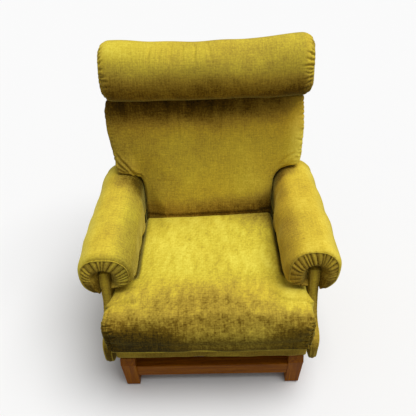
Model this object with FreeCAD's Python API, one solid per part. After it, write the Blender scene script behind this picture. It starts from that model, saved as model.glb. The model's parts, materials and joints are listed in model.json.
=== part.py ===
import FreeCAD, Part
import math
import os

# A platform-rocker recliner armchair, in millimetres. It faces -Y, +X is to the right seen from the
# front, +Z is up, and the origin is on the floor under the middle of the chair.

# Wooden base
base_half_width = 320.0
base_front_y = -366.0
base_rear_y = 316.0
leg_height = 113.0
leg_top_width = 52.0
leg_foot_width = 48.0
leg_lean = 10.0
leg_depth = 66.0
foot_chamfer = 4.0
glide_radius = 12.0
glide_height = 3.0
runner_height = 30.0
runner_bevel = 8.0
rail_setback = 3.0
rail_thickness = 40.0
rail_height = 51.0
rail_bottom_z = 52.0
corner_block_size = 34.0
spring_shelf_width = 60.0
spring_shelf_lap = 34.0
spring_shelf_height = 28.0
wood_edge = 2.0

# Rocker
rocker_radius = 450.0
rocker_gap = 0.3
rocker_width = 30.0
rocker_half_length = 150.0
rock_axis_y = 20.0
spring_inset = 84.0
spring_coil_radius = 24.0
spring_wire_radius = 3.0
spring_turns = 5
spring_seat_gap = 0.3

# Seat frame
rocker_height = 52.0
seat_rail_height = 73.0
seat_rail_thickness = 40.0
seat_rail_behind_pivot = 37.0
seat_cross_front_y = -365.0
seat_front_rail_width = 65.0
seat_front_rail_height = 22.0
seat_rear_rail_y = 60.0
seat_rear_rail_width = 35.0
web_count = 6
web_width = 45.0
web_thickness = 3.0
web_first_y = -265.0
web_end_margin = 12.0

# Upholstered side panels
panel_side_gap = 4.0
panel_thickness = 40.0
panel_drop = 38.0
panel_into_arm = 70.0
panel_rear_y = 285.0
panel_toe_lap = 4.0
panel_toe_shoulder_rise = 43.0
panel_waist_y = -318.0
panel_waist_rise = 117.0
panel_neck_y = -276.0
panel_neck_slope = 0.3
panel_toe_round = 44.0
panel_rear_round = 30.0
panel_edge_round = 12.0

# Arm pads and the boards in them
arm_inner_overhang = 78.0
arm_outer_overhang = 56.0
arm_front_y = -295.0
arm_rear_y = 300.0
arm_swing_gap = 12.0
arm_height = 168.0
arm_cushion_gap = 2.7
arm_top_round = 78.0
arm_bottom_round = 34.0
arm_end_round = 22.0
arm_board_width = 116.0
arm_board_thickness = 18.0
arm_board_end_inset = 45.0

# Seat cushion
cushion_overhang = 30.0
cushion_thickness = 126.0
cushion_ear_lap = 16.0
cushion_ear_depth = 98.0
cushion_side_gap = 3.0
cushion_corner_round = 40.0
cushion_front_round = 42.0
cushion_rear_gap = 4.0
cushion_web_gap = 0.3
cushion_panel_gap = 4.0

# Back, built upright around its pivot and then leaned
pivot_y = 178.0
pivot_rise = 40.0
back_lean_deg = 12.9
back_front_depth = 80.0
back_rear_depth = 86.0
back_frame_front = 10.0
post_inset = 36.0
post_width = 40.0
post_thickness = 30.0
post_top_z = 750.0
slat_inset = 25.0
slat_width = 30.0
cross_rail_thickness = 22.0
cross_rail_height = 40.0
wing_rail_z = 372.0
top_rail_z = 700.0
bottom_rail_size = 44.0
back_web_count = 8
back_web_first_z = 80.0
back_web_pitch = 88.0
back_web_narrow_margin = 4.0
back_web_wide_margin = 4.0
back_cushion_web_gap = 1.0
back_bottom_gap = 6.0
back_side_gap = 3.0
back_wing_inset = 4.0
back_wing_z = 345.0
back_wing_hollow = 34.0
back_wing_corner = 36.0
back_cushion_round = 26.0
outside_back_wall = 12.0
outside_back_top_z = 775.0
outside_back_corner = 60.0
outside_back_edge = 14.0

# Headrest roll
headrest_overhang = 13.0
headrest_half_height = 98.0
headrest_half_depth = 88.0
headrest_forward = 86.0
headrest_centre_z = 702.0
headrest_end_round = 34.0
headrest_cushion_gap = 1.0

# Recline hinge
hinge_pin_radius = 6.0
hinge_running_gap = 0.05
hinge_side_gap = 0.4
hinge_plate_thickness = 5.0
hinge_plate_radius = 24.0
hinge_lug_width = 16.0
hinge_lug_length = 42.0
hinge_pin_end_gap = 5.0
bush_wall = 3.0
bush_flange_radius = 15.0
bush_flange_thickness = 13.6
stop_radius = 6.0
stop_pitch_radius = 34.0
stop_gap = 0.3
recline_range_deg = 35.0

# Pull-out footrest
guide_reach = 22.0
footrest_board_thickness = 12.0
footrest_pad_thickness = 20.0
footrest_border_gap = 7.0
footrest_border_depth = 33.0
footrest_border_rise = 8.0
footrest_border_height = 61.0
footrest_border_end_gap = 6.0
footrest_border_round = 14.0
footrest_rear_y = -60.0
footrest_pad_round = 7.0
footrest_clear_height = 4.0
slide_gap = 0.3
guide_height = 10.0
guide_rear_y = 55.0
runner_bar_height = 19.0
runner_bar_rear_y = 30.0
runner_bar_front_gap = 6.0

# How far past a level an edge must be to count as off it, and what counts as straight
edge_margin = 1.0
level_tolerance = 1e-3
line_tolerance = 1e-6

# Levels, widths and depths that several pieces share
runner_top_z = leg_height + runner_height
rock_axis_z = runner_top_z + rocker_gap + rocker_radius
seat_frame_bottom_z = runner_top_z + rocker_height
seat_top_z = seat_frame_bottom_z + seat_rail_height
web_top_z = seat_top_z + web_thickness
cushion_bottom_z = web_top_z + cushion_web_gap
cushion_top_z = cushion_bottom_z + cushion_thickness
arm_bottom_z = cushion_top_z + arm_cushion_gap
arm_top_z = arm_bottom_z + arm_height
panel_bottom_z = seat_frame_bottom_z - panel_drop
panel_top_z = arm_bottom_z + panel_into_arm
panel_toe_shoulder_z = seat_frame_bottom_z + panel_toe_shoulder_rise
panel_waist_z = seat_frame_bottom_z + panel_waist_rise
pivot_z = seat_frame_bottom_z + pivot_rise
footrest_border_bottom_z = seat_frame_bottom_z + footrest_border_rise

panel_inner_x = base_half_width + panel_side_gap
panel_outer_x = panel_inner_x + panel_thickness
seat_rail_inner_x = panel_inner_x - seat_rail_thickness
spring_x = seat_rail_inner_x - spring_inset
bottom_rail_half_length = seat_rail_inner_x - bush_flange_thickness - hinge_side_gap - hinge_plate_thickness
footrest_half_width = seat_rail_inner_x - guide_reach
arm_inner_x = panel_inner_x - arm_inner_overhang
arm_outer_x = panel_outer_x + arm_outer_overhang
cushion_ear_half_width = panel_inner_x + cushion_ear_lap
back_lower_half_width = arm_inner_x - back_side_gap
back_wing_half_width = panel_outer_x - back_wing_inset
post_centre_x = back_lower_half_width - post_inset
slat_outer_x = back_wing_half_width - slat_inset
headrest_half_width = back_wing_half_width + headrest_overhang

footrest_inner_front_y = seat_cross_front_y - footrest_border_gap
footrest_front_y = footrest_inner_front_y - footrest_border_depth
cushion_front_y = footrest_front_y - cushion_overhang
panel_toe_front_y = footrest_front_y - panel_toe_lap
seat_rail_rear_y = pivot_y + seat_rail_behind_pivot
pivot = FreeCAD.Vector(0, pivot_y, pivot_z)
x_axis = FreeCAD.Vector(1, 0, 0)


def block(x0, x1, y0, y1, z0, z1):
    return Part.makeBox(x1 - x0, y1 - y0, z1 - z0, FreeCAD.Vector(x0, y0, z0))


def rod_x(x0, x1, y, z, radius):
    return Part.makeCylinder(radius, x1 - x0, FreeCAD.Vector(x0, y, z), x_axis)


def prism_x(points, x0, x1):
    """A straight-sided outline in the YZ plane, carried from x0 to x1."""
    wire = Part.makePolygon([FreeCAD.Vector(x0, y, z) for y, z in points + points[:1]])
    return Part.Face(wire).extrude(FreeCAD.Vector(x1 - x0, 0, 0))


def prism_y(points, y0, y1):
    """A straight-sided outline in the XZ plane, carried from y0 to y1."""
    wire = Part.makePolygon([FreeCAD.Vector(x, y0, z) for x, z in points + points[:1]])
    return Part.Face(wire).extrude(FreeCAD.Vector(0, y1 - y0, 0))


def edges_along(shape, axis, where=None):
    """The straight edges that run along an axis, 0 to 2 for X to Z, at the places that where accepts."""
    found = []
    for edge in shape.Edges:
        first, last = edge.Vertexes[0].Point, edge.Vertexes[-1].Point
        run = last - first
        if edge.Curve.TypeId != "Part::GeomLine" or run.Length < line_tolerance:
            continue
        if abs(abs(run[axis]) - run.Length) < line_tolerance and (where is None or where(edge.CenterOfMass)):
            found.append(edge)
    return found


def edges_in_plane(shape, axis, level):
    """The edges that lie wholly in the plane where one coordinate has the given level."""
    found = []
    for edge in shape.Edges:
        box = edge.BoundBox
        low = (box.XMin, box.YMin, box.ZMin)[axis]
        high = (box.XMax, box.YMax, box.ZMax)[axis]
        if abs(low - level) < level_tolerance and abs(high - level) < level_tolerance:
            found.append(edge)
    return found


def lean(shape):
    """Turns a piece of the back from upright around the pivot to its leaning place."""
    turned = shape.copy()
    turned.translate(pivot)
    turned.rotate(pivot, x_axis, -back_lean_deg)
    return turned


def left_of(shape):
    """The mirror image on the other side of the chair."""
    return shape.mirror(FreeCAD.Vector(0, 0, 0), x_axis)


# Base pieces, right-hand side

def leg_inner_x(z):
    """Where the inner face of a leg stands at a height."""
    top_x = base_half_width - leg_top_width
    foot_x = base_half_width - leg_lean - leg_foot_width
    share = (z - glide_height) / (leg_height - glide_height)
    return foot_x + share * (top_x - foot_x)


def leg(y0, y1):
    """A tapered leg that leans in to its foot."""
    foot_outer_x = base_half_width - leg_lean
    outline = [
        (leg_inner_x(leg_height), leg_height),
        (base_half_width, leg_height),
        (foot_outer_x, glide_height),
        (foot_outer_x - leg_foot_width, glide_height),
    ]
    body = prism_y(outline, y0, y1)
    body = body.makeChamfer(foot_chamfer, edges_in_plane(body, 2, glide_height))
    corners = edges_in_plane(body, 1, y0) + edges_in_plane(body, 1, y1)
    upright = [edge for edge in corners if edge.BoundBox.ZMax > leg_height - edge_margin]
    outer = [edge for edge in upright if edge.CenterOfMass.x > foot_outer_x]
    return body.makeChamfer(wood_edge, [edge for edge in outer if edge.BoundBox.ZMin < rail_bottom_z])


def runner():
    """The long rail on top of two legs that a rocker rolls on, bevelled at both ends."""
    outline = [
        (base_front_y, leg_height),
        (base_front_y + runner_bevel, runner_top_z),
        (base_rear_y - runner_bevel, runner_top_z),
        (base_rear_y, leg_height),
    ]
    rail = prism_x(outline, base_half_width - leg_top_width, base_half_width)
    return rail.makeChamfer(wood_edge, edges_along(rail, 1, lambda p: p.z > runner_top_z - edge_margin))


def base_cross_rail(y0, y1):
    """A rail between two legs, its ends cut to their lean."""
    top_z = rail_bottom_z + rail_height
    low_x = leg_inner_x(rail_bottom_z)
    high_x = leg_inner_x(top_z)
    outline = [(-low_x, rail_bottom_z), (low_x, rail_bottom_z), (high_x, top_z), (-high_x, top_z)]
    rail = prism_y(outline, y0, y1)
    return rail.makeChamfer(wood_edge, edges_along(rail, 0))


def corner_blocks():
    """Four triangular glue blocks between the rails and the legs."""
    top_z = rail_bottom_z + rail_height
    reach_x = leg_inner_x(rail_bottom_z)
    faces = (
        (base_front_y + rail_setback + rail_thickness, 1),
        (base_rear_y - rail_setback - rail_thickness, -1),
    )
    blocks = []
    for face_y, way in faces:
        points = [
            FreeCAD.Vector(reach_x, face_y, rail_bottom_z),
            FreeCAD.Vector(reach_x - corner_block_size, face_y, rail_bottom_z),
            FreeCAD.Vector(reach_x, face_y + way * corner_block_size, rail_bottom_z),
        ]
        wire = Part.makePolygon(points + points[:1])
        right = Part.Face(wire).extrude(FreeCAD.Vector(0, 0, top_z - rail_bottom_z))
        blocks += [right, left_of(right)]
    return Part.Compound(blocks)


def glides():
    """Four nylon glides under the feet."""
    x = base_half_width - leg_lean - leg_foot_width / 2
    found = []
    for y in (base_front_y + leg_depth / 2, base_rear_y - leg_depth / 2):
        for side in (-1, 1):
            found.append(Part.makeCylinder(glide_radius, glide_height, FreeCAD.Vector(side * x, y, 0)))
    return Part.Compound(found)


def spring_y():
    return seat_rear_rail_y + seat_rear_rail_width / 2


def spring_shelf():
    """The cross rail under the runners that the rocker springs stand on."""
    half_x = base_half_width - leg_top_width + spring_shelf_lap
    y = spring_y()
    half = spring_shelf_width / 2
    return block(-half_x, half_x, y - half, y + half, leg_height - spring_shelf_height, leg_height)


def rocker_spring():
    """A coil spring from the shelf to the underside of the seat's rear rail."""
    low_z = leg_height + spring_seat_gap + spring_wire_radius
    high_z = seat_frame_bottom_z - spring_seat_gap - spring_wire_radius
    height = high_z - low_z
    helix = Part.makeHelix(height / spring_turns, height, spring_coil_radius)
    start = FreeCAD.Vector(spring_coil_radius, 0, 0)
    ring = Part.Wire(Part.makeCircle(spring_wire_radius, start, FreeCAD.Vector(0, 1, 0)))
    coil = Part.Wire(helix.Edges).makePipeShell([ring], True, True)
    coil.translate(FreeCAD.Vector(spring_x, spring_y(), low_z))
    return coil


# Body pieces, right-hand side

def rocker():
    """The curved wooden cam that rolls on a runner."""
    low_z = rock_axis_z - rocker_radius
    rise = rocker_radius - math.sqrt(rocker_radius ** 2 - rocker_half_length ** 2)
    x = seat_rail_inner_x
    front = FreeCAD.Vector(x, rock_axis_y - rocker_half_length, low_z + rise)
    middle = FreeCAD.Vector(x, rock_axis_y, low_z)
    rear = FreeCAD.Vector(x, rock_axis_y + rocker_half_length, low_z + rise)
    top_rear = FreeCAD.Vector(x, rear.y, seat_frame_bottom_z)
    top_front = FreeCAD.Vector(x, front.y, seat_frame_bottom_z)
    edges = [Part.Arc(front, middle, rear).toShape()]
    for start, end in ((rear, top_rear), (top_rear, top_front), (top_front, front)):
        edges.append(Part.LineSegment(start, end).toShape())
    return Part.Face(Part.Wire(edges)).extrude(FreeCAD.Vector(rocker_width, 0, 0))


def seat_side_rail():
    """The rail that joins rocker, panel and hinge, bored for the hinge bush."""
    rail = block(
        seat_rail_inner_x, panel_inner_x, seat_cross_front_y, seat_rail_rear_y, seat_frame_bottom_z, seat_top_z
    )
    bore = rod_x(seat_rail_inner_x, panel_inner_x, pivot_y, pivot_z, bush_outer_radius())
    return rail.cut(bore)


def seat_front_rail():
    low_z = seat_top_z - seat_front_rail_height
    rear_y = seat_cross_front_y + seat_front_rail_width
    return block(-seat_rail_inner_x, seat_rail_inner_x, seat_cross_front_y, rear_y, low_z, seat_top_z)


def seat_rear_rail():
    rear_y = seat_rear_rail_y + seat_rear_rail_width
    return block(-seat_rail_inner_x, seat_rail_inner_x, seat_rear_rail_y, rear_y, seat_frame_bottom_z, seat_top_z)


def seat_webbing():
    """Elastic webbing across the side rails."""
    half_x = panel_inner_x - web_end_margin
    pitch = (seat_rear_rail_y - web_first_y) / (web_count - 1)
    straps = []
    for i in range(web_count):
        y = web_first_y + i * pitch
        straps.append(block(-half_x, half_x, y - web_width / 2, y + web_width / 2, seat_top_z, web_top_z))
    return Part.Compound(straps)


def panel_outline(grow):
    """The side of the chair in the YZ plane: a toe at the front, a hollow above it and a square rear."""
    top_z = panel_top_z + grow
    bottom_z = panel_bottom_z - grow
    rear_y = panel_rear_y + grow
    toe_y = panel_toe_front_y - grow
    toe_round = panel_toe_round + grow
    rear_round = panel_rear_round + grow
    neck = FreeCAD.Vector(0, panel_neck_y - grow, top_z)
    waist = FreeCAD.Vector(0, panel_waist_y - grow, panel_waist_z + grow / 2)
    shoulder = FreeCAD.Vector(0, (panel_waist_y + toe_y) / 2, (panel_waist_z + panel_toe_shoulder_z) / 2 + grow)
    brow = FreeCAD.Vector(0, toe_y, panel_toe_shoulder_z - panel_toe_round / 2)
    front = Part.BSplineCurve()
    front.interpolate(
        Points=[neck, waist, shoulder, brow],
        InitialTangent=FreeCAD.Vector(0, -panel_neck_slope, -1),
        FinalTangent=FreeCAD.Vector(0, 0, -1),
    )
    chin = FreeCAD.Vector(0, toe_y, bottom_z + toe_round)
    heel = FreeCAD.Vector(0, toe_y + toe_round, bottom_z)
    slope = toe_round * (1 - math.sqrt(0.5))
    cheek = FreeCAD.Vector(0, toe_y + slope, bottom_z + slope)
    corner_low = FreeCAD.Vector(0, rear_y - rear_round, bottom_z)
    corner_high = FreeCAD.Vector(0, rear_y, bottom_z + rear_round)
    slope = rear_round * (1 - math.sqrt(0.5))
    corner_mid = FreeCAD.Vector(0, rear_y - slope, bottom_z + slope)
    top_rear = FreeCAD.Vector(0, rear_y, top_z)
    return [
        front.toShape(),
        Part.LineSegment(brow, chin).toShape(),
        Part.Arc(chin, cheek, heel).toShape(),
        Part.LineSegment(heel, corner_low).toShape(),
        Part.Arc(corner_low, corner_mid, corner_high).toShape(),
        Part.LineSegment(corner_high, top_rear).toShape(),
        Part.LineSegment(top_rear, neck).toShape(),
    ]


def panel_solid(grow):
    face = Part.Face(Part.Wire(panel_outline(grow)))
    solid = face.extrude(FreeCAD.Vector(panel_thickness + 2 * grow, 0, 0))
    solid.translate(FreeCAD.Vector(panel_inner_x - grow, 0, 0))
    return solid


def side_panel():
    """The padded panel, its edges rounded except along its top in the arm pad."""
    panel = panel_solid(0)
    rims = edges_in_plane(panel, 0, panel_inner_x) + edges_in_plane(panel, 0, panel_outer_x)
    below_pad = [edge for edge in rims if edge.CenterOfMass.z < panel_top_z - edge_margin]
    return panel.makeFillet(panel_edge_round, below_pad)


def arm_board():
    """The board on top of a side panel, inside the arm pad."""
    x0 = (arm_inner_x + arm_outer_x - arm_board_width) / 2
    y0 = arm_front_y + arm_board_end_inset
    y1 = arm_rear_y - arm_board_end_inset
    return block(x0, x0 + arm_board_width, y0, y1, panel_top_z, panel_top_z + arm_board_thickness)


def arm_pad():
    """The roll that sits over a panel like a saddle, its rear top rounded under the back's swing."""
    swing = back_wing_z - arm_swing_gap
    rise = arm_top_z - pivot_z
    crest_y = pivot_y + math.sqrt(max(swing ** 2 - rise ** 2, 0.0))
    crest = FreeCAD.Vector(arm_inner_x, crest_y, arm_top_z)
    fall = FreeCAD.Vector(arm_inner_x, arm_rear_y, pivot_z + math.sqrt(swing ** 2 - (arm_rear_y - pivot_y) ** 2))
    mid_y = (crest_y + arm_rear_y) / 2
    slope = FreeCAD.Vector(arm_inner_x, mid_y, pivot_z + math.sqrt(swing ** 2 - (mid_y - pivot_y) ** 2))
    rear_low = FreeCAD.Vector(arm_inner_x, arm_rear_y, arm_bottom_z)
    front_low = FreeCAD.Vector(arm_inner_x, arm_front_y, arm_bottom_z)
    front_high = FreeCAD.Vector(arm_inner_x, arm_front_y, arm_top_z)
    side = Part.Wire([
        Part.LineSegment(front_low, front_high).toShape(),
        Part.LineSegment(front_high, crest).toShape(),
        Part.Arc(crest, slope, fall).toShape(),
        Part.LineSegment(fall, rear_low).toShape(),
        Part.LineSegment(rear_low, front_low).toShape(),
    ])
    roll = Part.Face(side).extrude(FreeCAD.Vector(arm_outer_x - arm_inner_x, 0, 0))
    middle_z = (arm_bottom_z + arm_top_z) / 2
    sides = edges_in_plane(roll, 0, arm_inner_x) + edges_in_plane(roll, 0, arm_outer_x)
    roll = roll.makeFillet(arm_top_round, [e for e in sides if e.BoundBox.ZMin > middle_z])
    roll = roll.makeFillet(arm_bottom_round, edges_along(roll, 1, lambda p: p.z < arm_bottom_z + edge_margin))
    ends = edges_in_plane(roll, 1, arm_front_y) + edges_in_plane(roll, 1, arm_rear_y)
    roll = roll.makeFillet(arm_end_round, ends)
    return roll.cut(panel_solid(0)).cut(arm_board())


def seat_cushion():
    """The T-shaped seat cushion: its ears reach out in front of the arms."""
    lean_tan = math.tan(math.radians(back_lean_deg))
    front_face_y = pivot_y - back_front_depth / math.cos(math.radians(back_lean_deg))
    rear_low_y = front_face_y + (cushion_bottom_z - pivot_z) * lean_tan - cushion_rear_gap
    rear_high_y = front_face_y + (cushion_top_z - pivot_z) * lean_tan - cushion_rear_gap
    side = [
        (cushion_front_y, cushion_bottom_z),
        (rear_low_y, cushion_bottom_z),
        (rear_high_y, cushion_top_z),
        (cushion_front_y, cushion_top_z),
    ]
    stem_half_width = panel_inner_x - cushion_side_gap
    stem = prism_x(side, -stem_half_width, stem_half_width)
    ears = block(
        -cushion_ear_half_width,
        cushion_ear_half_width,
        cushion_front_y,
        cushion_front_y + cushion_ear_depth,
        cushion_bottom_z,
        cushion_top_z,
    )
    cushion = stem.fuse(ears).removeSplitter()
    corners = edges_along(cushion, 2, lambda p: p.y < cushion_front_y + edge_margin)
    cushion = cushion.makeFillet(cushion_corner_round, corners)
    front = edges_along(cushion, 0, lambda p: p.y < cushion_front_y + edge_margin)
    cushion = cushion.makeFillet(cushion_front_round, front)
    clear = panel_solid(cushion_panel_gap)
    return cushion.cut(clear).cut(left_of(clear))


# Recline hinge, right-hand side

def bush_outer_radius():
    return hinge_pin_radius + hinge_running_gap + bush_wall


def hinge_plate_outer_x():
    return bottom_rail_half_length + hinge_plate_thickness


def recline_bush():
    """A flanged bush in the side rail that the hinge pin turns in."""
    sleeve = rod_x(seat_rail_inner_x, panel_inner_x, pivot_y, pivot_z, bush_outer_radius())
    flange_x = hinge_plate_outer_x() + hinge_side_gap
    flange = rod_x(flange_x, seat_rail_inner_x, pivot_y, pivot_z, bush_flange_radius)
    bore = rod_x(flange_x, panel_inner_x, pivot_y, pivot_z, hinge_pin_radius + hinge_running_gap)
    return sleeve.fuse(flange).cut(bore)


def recline_hinge():
    """The plate on the end of the back's bottom rail, with its pin and its stop lug."""
    plate = rod_x(bottom_rail_half_length, hinge_plate_outer_x(), 0, 0, hinge_plate_radius)
    half = hinge_lug_width / 2
    lug = block(bottom_rail_half_length, hinge_plate_outer_x(), -half, half, -hinge_lug_length, 0)
    pin = rod_x(bottom_rail_half_length, panel_inner_x - hinge_pin_end_gap, 0, 0, hinge_pin_radius)
    return lean(plate.fuse(lug).fuse(pin))


def recline_stops():
    """Two pins on the side rail that the hinge lug meets upright and fully reclined."""
    reach = hinge_lug_width / 2 + stop_radius + stop_gap
    spread_deg = math.degrees(math.asin(reach / stop_pitch_radius))
    pins = []
    for angle_deg in (back_lean_deg - spread_deg, back_lean_deg + recline_range_deg + spread_deg):
        y = pivot_y - stop_pitch_radius * math.sin(math.radians(angle_deg))
        z = pivot_z - stop_pitch_radius * math.cos(math.radians(angle_deg))
        pins.append(rod_x(bottom_rail_half_length + stop_gap, seat_rail_inner_x, y, z, stop_radius))
    return Part.Compound(pins)


# Back pieces, upright around the pivot

def back_bottom_rail():
    half = bottom_rail_size / 2
    return block(-bottom_rail_half_length, bottom_rail_half_length, -half, half, -half, half)


def back_post():
    x0 = post_centre_x - post_width / 2
    y1 = post_thickness - back_frame_front
    return block(x0, x0 + post_width, -back_frame_front, y1, bottom_rail_size / 2, post_top_z)


def back_slat():
    y1 = post_thickness - back_frame_front
    top_z = top_rail_z + cross_rail_height
    return block(slat_outer_x - slat_width, slat_outer_x, -back_frame_front, y1, wing_rail_z, top_z)


def back_cross_rail(z):
    """A rail across the rear of the posts and slats."""
    y0 = post_thickness - back_frame_front
    return block(-slat_outer_x, slat_outer_x, y0, y0 + cross_rail_thickness, z, z + cross_rail_height)


def back_webbing():
    """Elastic webbing across the posts, and across the slats above the arms."""
    narrow = post_centre_x + post_width / 2 - back_web_narrow_margin
    wide = slat_outer_x - back_web_wide_margin
    straps = []
    for i in range(back_web_count):
        z = back_web_first_z + i * back_web_pitch
        half_x = wide if z - web_width / 2 > wing_rail_z else narrow
        y1 = -back_frame_front
        straps.append(block(-half_x, half_x, y1 - web_thickness, y1, z - web_width / 2, z + web_width / 2))
    return Part.Compound(straps)


def back_outline(inset, low_z, high_z):
    """The T shape of the back in the XZ plane."""
    narrow = back_lower_half_width - inset
    wide = back_wing_half_width - inset
    wing_z = back_wing_z + inset
    return [
        (-narrow, low_z),
        (narrow, low_z),
        (narrow, wing_z),
        (wide, wing_z),
        (wide, high_z - inset),
        (-wide, high_z - inset),
        (-wide, wing_z),
        (-narrow, wing_z),
    ]


def back_prism(inset, low_z, high_z, y0, y1):
    """The T shape as a solid, hollowed under its wings and rounded at their lower corners."""
    prism = prism_y(back_outline(inset, low_z, high_z), y0, y1)
    at_wing = edges_along(prism, 1, lambda p: abs(p.z - back_wing_z - inset) < edge_margin)
    limit_x = (back_lower_half_width + back_wing_half_width) / 2
    hollows = [edge for edge in at_wing if abs(edge.CenterOfMass.x) < limit_x]
    prism = prism.makeFillet(back_wing_hollow + inset, hollows)
    at_wing = edges_along(prism, 1, lambda p: abs(p.z - back_wing_z - inset) < edge_margin)
    corners = [edge for edge in at_wing if abs(edge.CenterOfMass.x) > limit_x]
    return prism.makeFillet(back_wing_corner - inset, corners)


def back_upholstery_front():
    return -(back_frame_front + web_thickness + back_cushion_web_gap)


def back_bottom_z():
    return bottom_rail_size / 2 + back_bottom_gap


def back_cushion():
    """The T-shaped back cushion, narrow between the arms and wide above them."""
    top_z = headrest_centre_z - headrest_half_height - headrest_cushion_gap
    cushion = back_prism(0, back_bottom_z(), top_z, -back_front_depth, back_upholstery_front())
    return cushion.makeFillet(back_cushion_round, edges_in_plane(cushion, 1, -back_front_depth))


def outside_back():
    """The upholstered shell round the rear and sides of the back's frame, open to the front."""
    low_z = back_bottom_z()
    outer = back_prism(0, low_z, outside_back_top_z, back_upholstery_front(), back_rear_depth)
    top_corners = edges_along(outer, 1, lambda p: p.z > outside_back_top_z - edge_margin)
    outer = outer.makeFillet(outside_back_corner, top_corners)
    outer = outer.makeFillet(outside_back_edge, edges_in_plane(outer, 1, back_rear_depth))
    inner_low_z = low_z - back_bottom_gap
    inner_front = back_upholstery_front() - edge_margin
    inner_rear = back_rear_depth - outside_back_wall
    inner_top_z = outside_back_top_z - outside_back_wall
    inner = back_prism(outside_back_wall, inner_low_z, outside_back_top_z, inner_front, inner_rear)
    inner_corners = edges_along(inner, 1, lambda p: p.z > inner_top_z - edge_margin)
    inner = inner.makeFillet(outside_back_corner - outside_back_wall, inner_corners)
    return outer.cut(inner)


def headrest_roll():
    """The roll across the top of the back, flat where it meets it."""
    centre = FreeCAD.Vector(-headrest_half_width, -headrest_forward, headrest_centre_z)
    top = centre + FreeCAD.Vector(0, 0, headrest_half_height)
    front = centre - FreeCAD.Vector(0, headrest_half_depth, 0)
    oval = Part.Ellipse(top, front, centre).toShape()
    roll = Part.Face(Part.Wire(oval)).extrude(FreeCAD.Vector(2 * headrest_half_width, 0, 0))
    ends = edges_in_plane(roll, 0, -headrest_half_width) + edges_in_plane(roll, 0, headrest_half_width)
    roll = roll.makeFillet(headrest_end_round, ends)
    top_z = outside_back_top_z + headrest_half_height
    behind = block(
        -arm_outer_x, arm_outer_x, back_upholstery_front(), headrest_half_depth, 0, top_z
    )
    return roll.cut(behind)


# Footrest pieces

def footrest_base_z():
    return seat_frame_bottom_z + footrest_clear_height + guide_height + slide_gap


def footrest_board():
    z0 = footrest_base_z()
    return block(
        -footrest_half_width,
        footrest_half_width,
        footrest_inner_front_y,
        footrest_rear_y,
        z0,
        z0 + footrest_board_thickness,
    )


def footrest_pad():
    z0 = footrest_base_z() + footrest_board_thickness
    half_x = footrest_half_width
    pad = block(-half_x, half_x, footrest_inner_front_y, footrest_rear_y, z0, z0 + footrest_pad_thickness)
    return pad.makeFillet(footrest_pad_round, edges_in_plane(pad, 2, z0 + footrest_pad_thickness))


def footrest_border():
    """The padded front edge that closes the space under the seat cushion."""
    half_x = panel_inner_x - footrest_border_end_gap
    z0 = footrest_border_bottom_z
    border = block(
        -half_x, half_x, footrest_front_y, footrest_inner_front_y, z0, z0 + footrest_border_height
    )
    return border.makeFillet(footrest_border_round, edges_in_plane(border, 1, footrest_front_y))


def footrest_runner():
    """The bar along each side of the board that slides between the guides."""
    z0 = footrest_base_z()
    return block(
        footrest_half_width,
        seat_rail_inner_x - slide_gap,
        footrest_inner_front_y + runner_bar_front_gap,
        runner_bar_rear_y,
        z0,
        z0 + runner_bar_height,
    )


def footrest_guide(z0):
    """A hardwood strip on the inside of the seat rail."""
    return block(
        footrest_half_width + slide_gap, seat_rail_inner_x, seat_cross_front_y, guide_rear_y, z0, z0 + guide_height
    )


def build():
    """Every node by name."""
    front_rail_y = base_front_y + rail_setback
    rear_rail_y = base_rear_y - rail_setback
    lower_guide_z = footrest_base_z() - slide_gap - guide_height
    upper_guide_z = footrest_base_z() + runner_bar_height + slide_gap
    sided = {
        "base_front_leg": leg(base_front_y, base_front_y + leg_depth),
        "base_rear_leg": leg(base_rear_y - leg_depth, base_rear_y),
        "base_runner": runner(),
        "rocker_spring": rocker_spring(),
        "rocker": rocker(),
        "seat_side_rail": seat_side_rail(),
        "side_panel": side_panel(),
        "arm_board": arm_board(),
        "arm_pad": arm_pad(),
        "recline_bush": recline_bush(),
        "recline_stops": recline_stops(),
        "footrest_lower_guide": footrest_guide(lower_guide_z),
        "footrest_upper_guide": footrest_guide(upper_guide_z),
        "footrest_runner": footrest_runner(),
        "recline_hinge": recline_hinge(),
        "back_post": lean(back_post()),
        "back_slat": lean(back_slat()),
    }
    nodes = {
        "base_front_rail": base_cross_rail(front_rail_y, front_rail_y + rail_thickness),
        "base_rear_rail": base_cross_rail(rear_rail_y - rail_thickness, rear_rail_y),
        "base_corner_blocks": corner_blocks(),
        "base_glides": glides(),
        "spring_shelf": spring_shelf(),
        "seat_front_rail": seat_front_rail(),
        "seat_rear_rail": seat_rear_rail(),
        "seat_webbing": seat_webbing(),
        "seat_cushion": seat_cushion(),
        "footrest_board": footrest_board(),
        "footrest_pad": footrest_pad(),
        "footrest_border": footrest_border(),
        "back_bottom_rail": lean(back_bottom_rail()),
        "back_wing_rail": lean(back_cross_rail(wing_rail_z)),
        "back_top_rail": lean(back_cross_rail(top_rail_z)),
        "back_webbing": lean(back_webbing()),
        "back_cushion": lean(back_cushion()),
        "outside_back": lean(outside_back()),
        "headrest_roll": lean(headrest_roll()),
    }
    for name, shape in sided.items():
        nodes[name + "_right"] = shape
        nodes[name + "_left"] = left_of(shape)
    return nodes


os.makedirs("parts", exist_ok=True)
for name, shape in build().items():
    if not shape.isValid():
        raise ValueError(name + " is not a valid shape")
    shape.exportStep("parts/" + name + ".step")
    print(name, round(shape.Volume / 1000.0, 1), "cm3", len(shape.Solids))
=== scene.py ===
import json
import math

import bmesh
import bpy
import numpy as np
from mathutils import Matrix, Vector
from mathutils.bvhtree import BVHTree
from mathutils.kdtree import KDTree


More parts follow.
